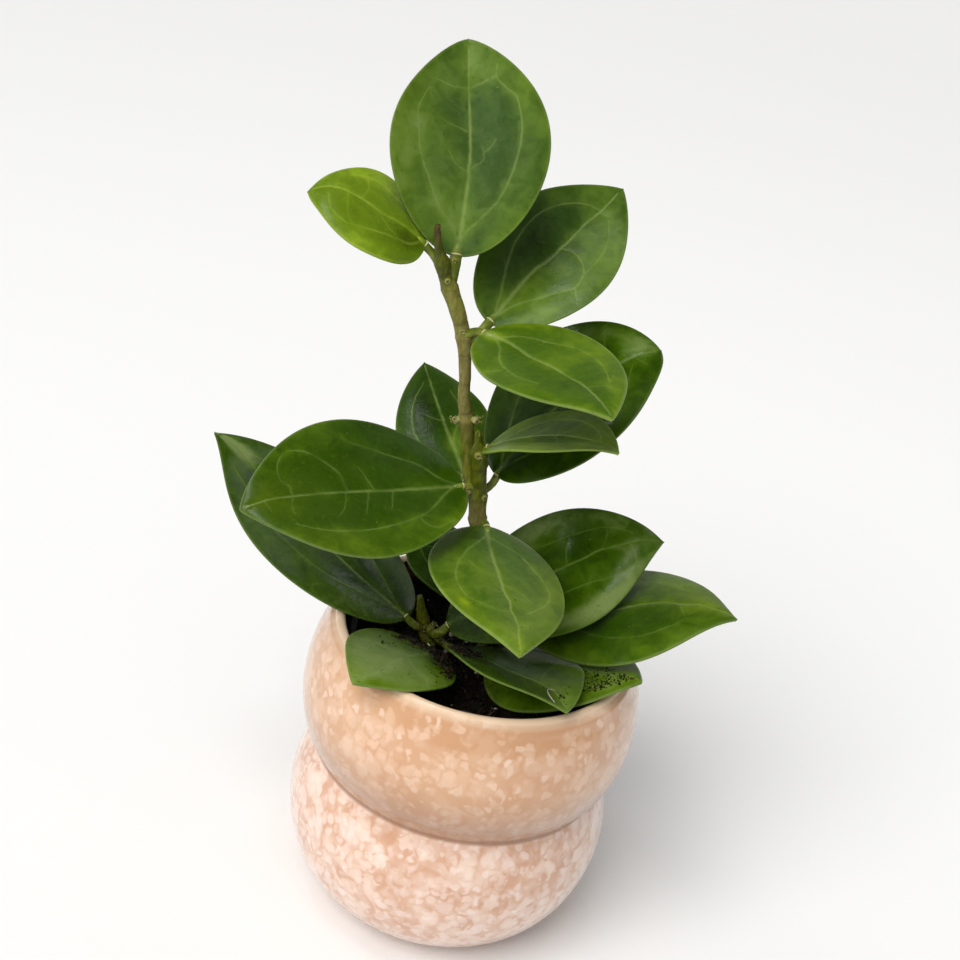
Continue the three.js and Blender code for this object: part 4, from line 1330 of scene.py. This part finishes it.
def flaked(g, base, height, lower, drift, cloud):
    """Layers of cream and blush flakes, more of them on the lower bulge and fewer at the lip."""
    place = bent_place(g)
    crowd = g.ramp(height, 0.111, 0.119, g.plus(0.1, g.times(lower, 0.2)), -0.12)
    crowd = g.plus(crowd, g.ramp(drift, 0.35, 0.65, -0.06, 0.14), g.ramp(cloud, 0.35, 0.65, -0.1, 0.12))
    cream = g.mix(lower, colour(226, 186, 154), colour(235, 209, 189))
    blush = g.mix(lower, colour(230, 198, 174), colour(242, 222, 213))
    for size, share, strong, low, seed, gap, end in FLAKES:
        moved = g.add("ShaderNodeMapping", {"Vector": place, "Location": (seed, seed * 0.7, 0)})
        cell = g.cells(size, moved.outputs["Vector"])
        border = g.cells(size, moved.outputs["Vector"], "DISTANCE_TO_EDGE")["Distance"]
        parts = g.add("ShaderNodeSeparateColor", {"Color": cell["Color"]}).outputs
        chosen = g.ramp(g.plus(g.math("SUBTRACT", share, parts["Red"]), crowd), -0.02, 0.02)
        inside = g.times(g.ramp(border, 0.0, gap), g.ramp(cell["Distance"], 0.3, end, 1.0, 0.0))
        depth = g.times(g.ramp(parts["Blue"], 0.0, 1.0, 0.3, 1.0), g.ramp(lower, 0.0, 1.0, strong, low))
        base = g.over(base, (g.mix(parts["Green"], cream, blush), chosen, inside, depth))
    return base


def glaze_material():
    g = Graph(bpy.data.materials.new("speckled_glaze"))
    height = g.axes(g.place)["Z"]
    drift = g.noise(30, 2)
    cloud = g.noise(11, 2)
    lower = g.ramp(height, 0.0655, 0.0675, 1.0, 0.0)
    body = g.mix(g.ramp(drift, 0.35, 0.65), colour(203, 155, 117), colour(209, 164, 127))
    low = g.mix(g.ramp(cloud, 0.35, 0.65), colour(205, 158, 128), colour(216, 174, 148))
    pin = g.cells(5.5)
    rare = g.ramp(g.math("FRACT", g.times(pin["Color"], 9.0)), 0.12, 0.14, 1.0, 0.0)
    from_crease = g.math("ABSOLUTE", g.math("SUBTRACT", height, CREASE_Z * MM))
    body = g.over(
        flaked(g, g.mix(lower, body, low), height, lower, drift, cloud),
        (colour(110, 80, 58), g.ramp(pin["Distance"], 0.03, 0.05, 1.0, 0.0), rare, 0.7),
        # painted shade: darker on the underside of the upper bulge, from the crease up to about 99 mm
        (colour(136, 94, 68), g.ramp(height, 0.068, 0.099, 0.65, 0.0), g.math("SUBTRACT", 1.0, lower)),
        # painted shade: darker towards the foot
        (colour(150, 112, 90), g.ramp(height, 0.0, 0.03, 0.3, 0.0)),
        # painted highlight: a paler band round the lip
        (colour(246, 222, 194), g.ramp(height, 0.1178, 0.1204, 0.0, 0.6)),
        # painted shade: a dark line along the crease between the bulges
        (colour(150, 104, 76), g.ramp(from_crease, 0.0003, 0.0016, 1.0, 0.0), 0.75),
    )
    down = g.axes(g.add("ShaderNodeNewGeometry").outputs["True Normal"])["Z"]
    bare = g.times(g.ramp(down, -0.995, -0.97, 1.0, 0.0), g.ramp(height, 0.0, 0.001, 1.0, 0.0))
    clay = g.mix(g.noise(0.6, 3), colour(214, 196, 172), colour(232, 218, 198))
    return g.finish(
        Base_Color=g.mix(bare, body, clay), Roughness=g.ramp(bare, 0.0, 1.0, 0.2, 0.85),
        Normal=g.bump(g.noise(14, 1), 0.35, 0.5, g.bump(g.noise(1.6, 1), 0.015, 0.5)),
        Coat_Weight=0.6, Coat_Roughness=0.06, Specular_IOR_Level=0.5,
    )


pot = Build()
pot.add(*turned(np.array(pot_profile()) * (POT_SHRINK, 1), POT_SIDES))
pot.piece("look_ceramic_pot", glaze_material(), ["ceramic_pot"])


# Grow pot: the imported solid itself, smooth shaded and with its own finish

def plastic_material():
    g = Graph(bpy.data.materials.new("black_plastic"))
    scuff = g.noise(2.2, 4, 0.65)
    rings = g.add("ShaderNodeTexWave", {"Vector": g.place, "Scale": 90.0, "Distortion": 0.4},
                  wave_type="BANDS", bands_direction="Z").outputs["Fac"]
    return g.finish(
        Base_Color=g.mix(g.ramp(scuff, 0.45, 0.75), colour(22, 22, 24), colour(44, 43, 42)),
        Roughness=g.ramp(scuff, 0.3, 0.7, 0.35, 0.55),
        Normal=g.bump(rings, 0.05, 0.3, g.bump(g.noise(0.35, 2), 0.03, 0.6)),
    )


grow_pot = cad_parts["grow_pot"]
grow_pot.data.materials.clear()
grow_pot.data.materials.append(plastic_material())
grow_pot.data.shade_smooth()
grow_pot.data.set_sharp_from_angle(angle=math.radians(35))


# Soil

def soil_height(x, y):
    broad = np.sin(0.21 * x + 1.3) * np.cos(0.17 * y - 0.6)
    small = 0.5 * np.sin(0.43 * y + 0.31 * x)
    edge = np.hypot(x, y) / GROW_TOP_RADIUS
    return SOIL_Z + SOIL_RELIEF * (broad + small) - SOIL_EDGE_DROP * edge**4


def soil_material():
    g = Graph(bpy.data.materials.new("potting_soil"))
    grain = g.noise(0.9, 4, 0.7)
    tint = g.value("tint")
    base = g.over(
        g.mix(g.ramp(grain, 0.35, 0.7), colour(9, 8, 7), colour(34, 27, 20)),
        (colour(46, 36, 26), g.ramp(g.noise(3.5, 3, 0.6), 0.55, 0.75, 0.0, 0.6)),
        (colour(64, 50, 34), g.ramp(tint, 0.0, 0.5)),
        (colour(186, 180, 164), g.ramp(tint, 0.5, 1.0)),
    )
    dull = g.ramp(grain, 0.3, 0.7, 0.75, 0.98)
    return g.finish(Base_Color=base, Roughness=dull, Normal=g.bump(grain, 0.35, 0.9))


SOIL_RINGS = 64
SOIL_SECTORS = 150
SOIL_CRUMBS = 1100
SOIL_FIBRES = 40
FIBRE_STEPS = 16
FIBRE_SIDES = 5


def add_soil_body(build):
    """The soil's lumpy top, its side and its floor, as one closed body."""
    radii = np.concatenate([np.linspace(0.3, SOIL_RADIUS - 0.4, SOIL_RINGS), [SOIL_RADIUS]])
    angles = np.linspace(0, 2 * np.pi, SOIL_SECTORS, endpoint=False)
    around = np.column_stack([np.cos(angles), np.sin(angles)])
    x, y = (radii[:, None, None] * around).reshape(-1, 2).T
    flat = np.column_stack([x, y, np.zeros(len(x))])
    crumb = 0.9 * rough_all(flat, 3.4, 4) + 0.7 * rough_all(flat, 1.7, 5)
    z = soil_height(x, y) + crumb * np.clip((SOIL_RADIUS + 2 - np.hypot(x, y)) / 4, 0.2, 1)
    top = np.column_stack([x, y, z]).reshape(-1, SOIL_SECTORS, 3)[::-1]
    low = np.column_stack([SOIL_BOTTOM_RADIUS * around, np.full(SOIL_SECTORS, SOIL_BOTTOM_Z)])
    rows = numbered(SOIL_RINGS + 2, SOIL_SECTORS)
    faces = [tuple(rows[0])[::-1], *joined(rows), tuple(rows[-1])]
    build.add(np.vstack([low, top.reshape(-1, 3)]), faces)


def add_crumb(build, place, size, tint, rng, shapes):
    """One lump of soil, stretched and turned at random."""
    points, faces = shapes
    stretch = rng.uniform(0.6, 1.25, 3) * size
    turn = np.array(Matrix.Rotation(rng.uniform(0, 6.28), 3, Vector(rng.uniform(-1, 1, 3))))
    lumps = 1 + 0.35 * rough_all(points * 2, 1.3, rng.uniform(0, 40))
    build.add((points * lumps[:, None] * stretch) @ turn.T + place, faces, tint=tint)


def add_crumbs(build, count, seed):
    rng = np.random.default_rng(seed)
    shapes = ball(1)
    for _ in range(count):
        radius = (SOIL_RADIUS - 1.5) * math.sqrt(rng.uniform())
        angle = rng.uniform(0, 2 * np.pi)
        x, y = radius * math.cos(angle), radius * math.sin(angle)
        size = rng.gamma(4.0, 0.17)
        tint = rng.choice([0.0, 0.15, 0.35, 0.9], p=[0.55, 0.27, 0.15, 0.03])
        z = soil_height(x, y) + size * rng.uniform(0.1, 0.6)
        add_crumb(build, np.array([x, y, z]), size, tint, rng, shapes)


def add_fibres(build, count, seed):
    """Loose root hairs and bark fibres lying on the soil."""
    rng = np.random.default_rng(seed)
    for _ in range(count):
        radius = (SOIL_RADIUS - 6) * math.sqrt(rng.uniform())
        angle = rng.uniform(0, 2 * np.pi)
        heading = rng.uniform(0, 2 * np.pi)
        x, y = radius * math.cos(angle), radius * math.sin(angle)
        route = []
        for _ in range(5):
            route.append((x, y, float(soil_height(x, y)) + rng.uniform(0.3, 1.2)))
            heading += rng.uniform(-0.9, 0.9)
            x += rng.uniform(1.0, 2.2) * math.cos(heading)
            y += rng.uniform(1.0, 2.2) * math.sin(heading)
        thick = rng.uniform(0.07, 0.14)
        rod = tube(curve_through(route, FIBRE_STEPS), np.full(FIBRE_STEPS + 1, thick), FIBRE_SIDES)
        build.add(*rod, tint=rng.choice([0.4, 0.6, 0.75]))


SOIL_FINISH = soil_material()
soil = Build("tint")
add_soil_body(soil)
add_crumbs(soil, SOIL_CRUMBS, 11)
add_fibres(soil, SOIL_FIBRES, 12)
soil.piece("look_soil", SOIL_FINISH, ["soil"])

# Crumbs on the leaves: share of length, share of half width, spread, count and size
SPILLS = {
    "leaf_rim_left": [
        (0.42, 0.43, 0.04, 14, 1), (0.38, 0.34, 0.05, 20, 1), (0.27, 0.18, 0.05, 20, 1),
        (0.17, 0.49, 0.07, 48, 1.2), (0.06, 0.6, 0.07, 40, 1.5), (0.3, -0.79, 0.12, 70, 1),
        (0.1, -0.45, 0.16, 110, 1.6), (0.03, -0.3, 0.1, 70, 3), (0.22, -0.8, 0.12, 60, 2.2),
        (0.6, 0.0, 0.4, 24, 0.7), (0.12, -0.55, 0.1, 60, 2.4), (0.08, 0.15, 0.14, 60, 2.2),
    ],
    "leaf_rim_centre": [
        (0.05, 0.1, 0.08, 60, 3), (0.14, 0.55, 0.12, 60, 2.2), (0.16, 0.1, 0.1, 110, 1.7),
        (0.33, 0.7, 0.12, 80, 1.4), (0.2, 0.5, 0.15, 80, 1.4), (0.5, 0.0, 0.3, 40, 0.7),
        (0.8, -0.01, 0.05, 16, 0.8), (0.89, -0.14, 0.06, 28, 1), (0.84, -0.42, 0.06, 16, 0.8),
    ],
    "leaf_rim_right": [
        (0.75, 0.59, 0.1, 80, 1), (0.82, 0.46, 0.1, 80, 1.1), (0.88, 0.23, 0.1, 60, 1),
        (0.7, 0.26, 0.12, 60, 1), (0.8, 0.05, 0.12, 50, 1), (0.5, 0.2, 0.2, 50, 1),
    ],
    "leaf_front": [
        (0.7, 0.0, 0.4, 26, 0.5),
    ],
}

# Strands that lie on leaves: leaf, thickness, tint, then (share of length, of half width, lift)
STRANDS = [
    ("leaf_rim_left", 0.16, 0.25, [
        (0.1, -0.1, 0.6), (0.22, -0.3, 1.2), (0.32, -0.51, 0.8), (0.27, -0.68, 1.4), (0.15, -0.72, 0.7),
        (0.05, -0.5, 1.6), (0.1, -0.2, 1.0), (0.2, -0.1, 0.5),
    ]),
    ("leaf_rim_left", 0.12, 0.2, [
        (0.02, -0.6, 0.5), (0.12, -0.85, 1.5), (0.24, -0.8, 1.1), (0.3, -0.9, 0.4),
    ]),
    ("leaf_rim_left", 0.11, 0.3, [(0.02, 0.2, 0.4), (0.1, 0.4, 1.2), (0.06, 0.7, 0.9)]),
    ("leaf_rim_centre", 0.24, 1.0, [
        (0.95, 0.8, 0.3), (0.9, 0.5, 1.0), (0.85, 0.2, 1.1), (0.82, 0.0, 0.7), (0.83, -0.12, 0.25),
    ]),
    ("leaf_rim_centre", 0.12, 0.25, [
        (0.1, 0.2, 0.5), (0.2, 0.6, 1.6), (0.3, 0.5, 0.9), (0.36, 0.8, 0.3),
    ]),
    ("leaf_rim_right", 0.12, 0.3, [
        (0.6, 0.5, 0.4), (0.68, 0.3, 1.0), (0.76, 0.4, 0.7), (0.8, 0.2, 0.3),
    ]),
]


def spilled_crumbs():
    rng = np.random.default_rng(21)
    shapes = ball(1)
    build = Build("tint")
    leaves = {name: Leaf(name, values) for name, values in LEAVES.items()}

    def on_leaf(name, t, v, lift):
        leaf = leaves[name]
        return leaf.place(leaf.flat([t], [v]), LEAF_THICK / 2 + lift)[0]

    for name, heaps in SPILLS.items():
        for t, v, spread, count, scale in heaps:
            for _ in range(count):
                at_t = np.clip(t + rng.normal(0, spread * 0.5), 0.02, 0.97)
                at_v = np.clip(v + rng.normal(0, spread), -0.9, 0.9)
                size = (0.08 + rng.gamma(1.6, 0.08)) * scale
                place = on_leaf(name, at_t, at_v, size * 0.3)
                add_crumb(build, place, size, rng.choice([0.0, 0.1, 0.3]), rng, shapes)
    for name, thick, tint, route in STRANDS:
        centres = curve_through([on_leaf(name, *place) for place in route], 8 * len(route))
        k = np.linspace(0, 1, len(centres))
        build.add(*tube(centres, thick * np.interp(k, [0, 0.3, 1], [0.5, 1, 0.4]), 6), tint=tint)
    build.piece("spilled_crumbs", SOIL_FINISH)


spilled_crumbs()


# Stage, light and camera

def stage_floor():
    bpy.ops.mesh.primitive_circle_add(vertices=96, radius=FLOOR_RADIUS, fill_type="NGON")
    floor = bpy.context.active_object
    floor.name = "floor"
    white = Graph(bpy.data.materials.new("floor")).finish(
        Base_Color=(0.9, 0.9, 0.9, 1), Roughness=0.9, Specular_IOR_Level=0.1,
    )
    floor.data.materials.append(white)


def softbox(name, toward, distance, degrees, radiance):
    """A round lamp that faces the plant, as bright as radiance times a white surface."""
    toward = Vector(toward).normalized()
    radius = distance * math.tan(math.radians(degrees))
    data = bpy.data.lights.new(name, "AREA")
    data.shape = "DISK"
    data.size = 2 * radius
    data.energy = radiance * math.pi * math.pi * radius**2
    lamp = placed(name, data)
    lamp.location = LIGHT_AIM + toward * distance
    lamp.rotation_euler = toward.to_track_quat("Z", "Y").to_euler()
    lamp.visible_camera = False


def sun_light(name, toward, power, softness, tint=(1, 1, 1)):
    """Even light from one side that leaves no highlights."""
    data = bpy.data.lights.new(name, "SUN")
    data.energy = power
    data.angle = math.radians(softness)
    data.color = tint
    lamp = placed(name, data)
    lamp.rotation_euler = Vector(toward).to_track_quat("Z", "Y").to_euler()
    lamp.visible_glossy = False


def light_world():
    """White in the picture, but dimmer as light, less so on the left, and dimmest where it is mirrored."""
    g = Graph(bpy.data.worlds.new("studio"))
    bpy.context.scene.world = g.owner
    toward = g.axes(g.coordinates["Generated"])
    given = g.ramp(toward["X"], 0.1, 0.9, WORLD_LEFT, WORLD_RIGHT)
    low = g.ramp(toward["Z"], 0.45, 0.85, 0.18, 0.04)
    mirrored = g.plus(low, g.ramp(toward["Y"], 0.5, 0.95, 0.0, 0.12))
    ray = g.add("ShaderNodeLightPath").outputs
    strength = g.between(ray["Is Glossy Ray"], given, mirrored)
    strength = g.between(ray["Is Camera Ray"], strength, 1.0)
    g.finish("Background", Color=(1, 1, 1, 1), Strength=strength)


# Round lamps: direction, distance, half the angle they are seen under in degrees, radiance
SOFTBOXES = {
    "top": ((-0.22, -0.2, 0.95), 1.3, 8, 6),
    "top_left": ((-0.7, 0.16, 0.7), 1.3, 3.5, 8),
    "left": ((-0.85, -0.35, 0.4), 1.5, 9, 0.5),
    "back": ((0.38, 0.56, 0.73), 1.5, 7, 1.1),
    "right": ((0.93, 0.1, 0.35), 1.5, 10, 0.7),
}


def light_scene():
    light_world()
    sun_light("key", (-0.42, -0.6, 0.78), KEY_STRENGTH, 40, (1, 0.99, 0.97))
    sun_light("fill", (0.7, -0.6, 0.5), FILL_STRENGTH, 60)
    for name, values in SOFTBOXES.items():
        softbox(name, *values)


def add_camera():
    data = bpy.data.cameras.new("camera")
    data.lens = CAMERA_LENS
    data.sensor_width = 36
    camera = placed("camera", data)
    look = Vector((0, math.cos(CAMERA_ELEVATION), -math.sin(CAMERA_ELEVATION)))
    level = Vector((1, 0, 0))
    upright = level.cross(look)
    right = level * math.cos(CAMERA_ROLL) + upright * math.sin(CAMERA_ROLL)
    up = upright * math.cos(CAMERA_ROLL) - level * math.sin(CAMERA_ROLL)
    turn = Matrix((right, up, -look)).transposed().to_4x4()
    camera.matrix_world = Matrix.Translation(CAMERA_AIM - look * CAMERA_DISTANCE) @ turn
    bpy.context.scene.camera = camera


stage_floor()
light_scene()
add_camera()
bpy.context.scene.view_settings.view_transform = "Standard"
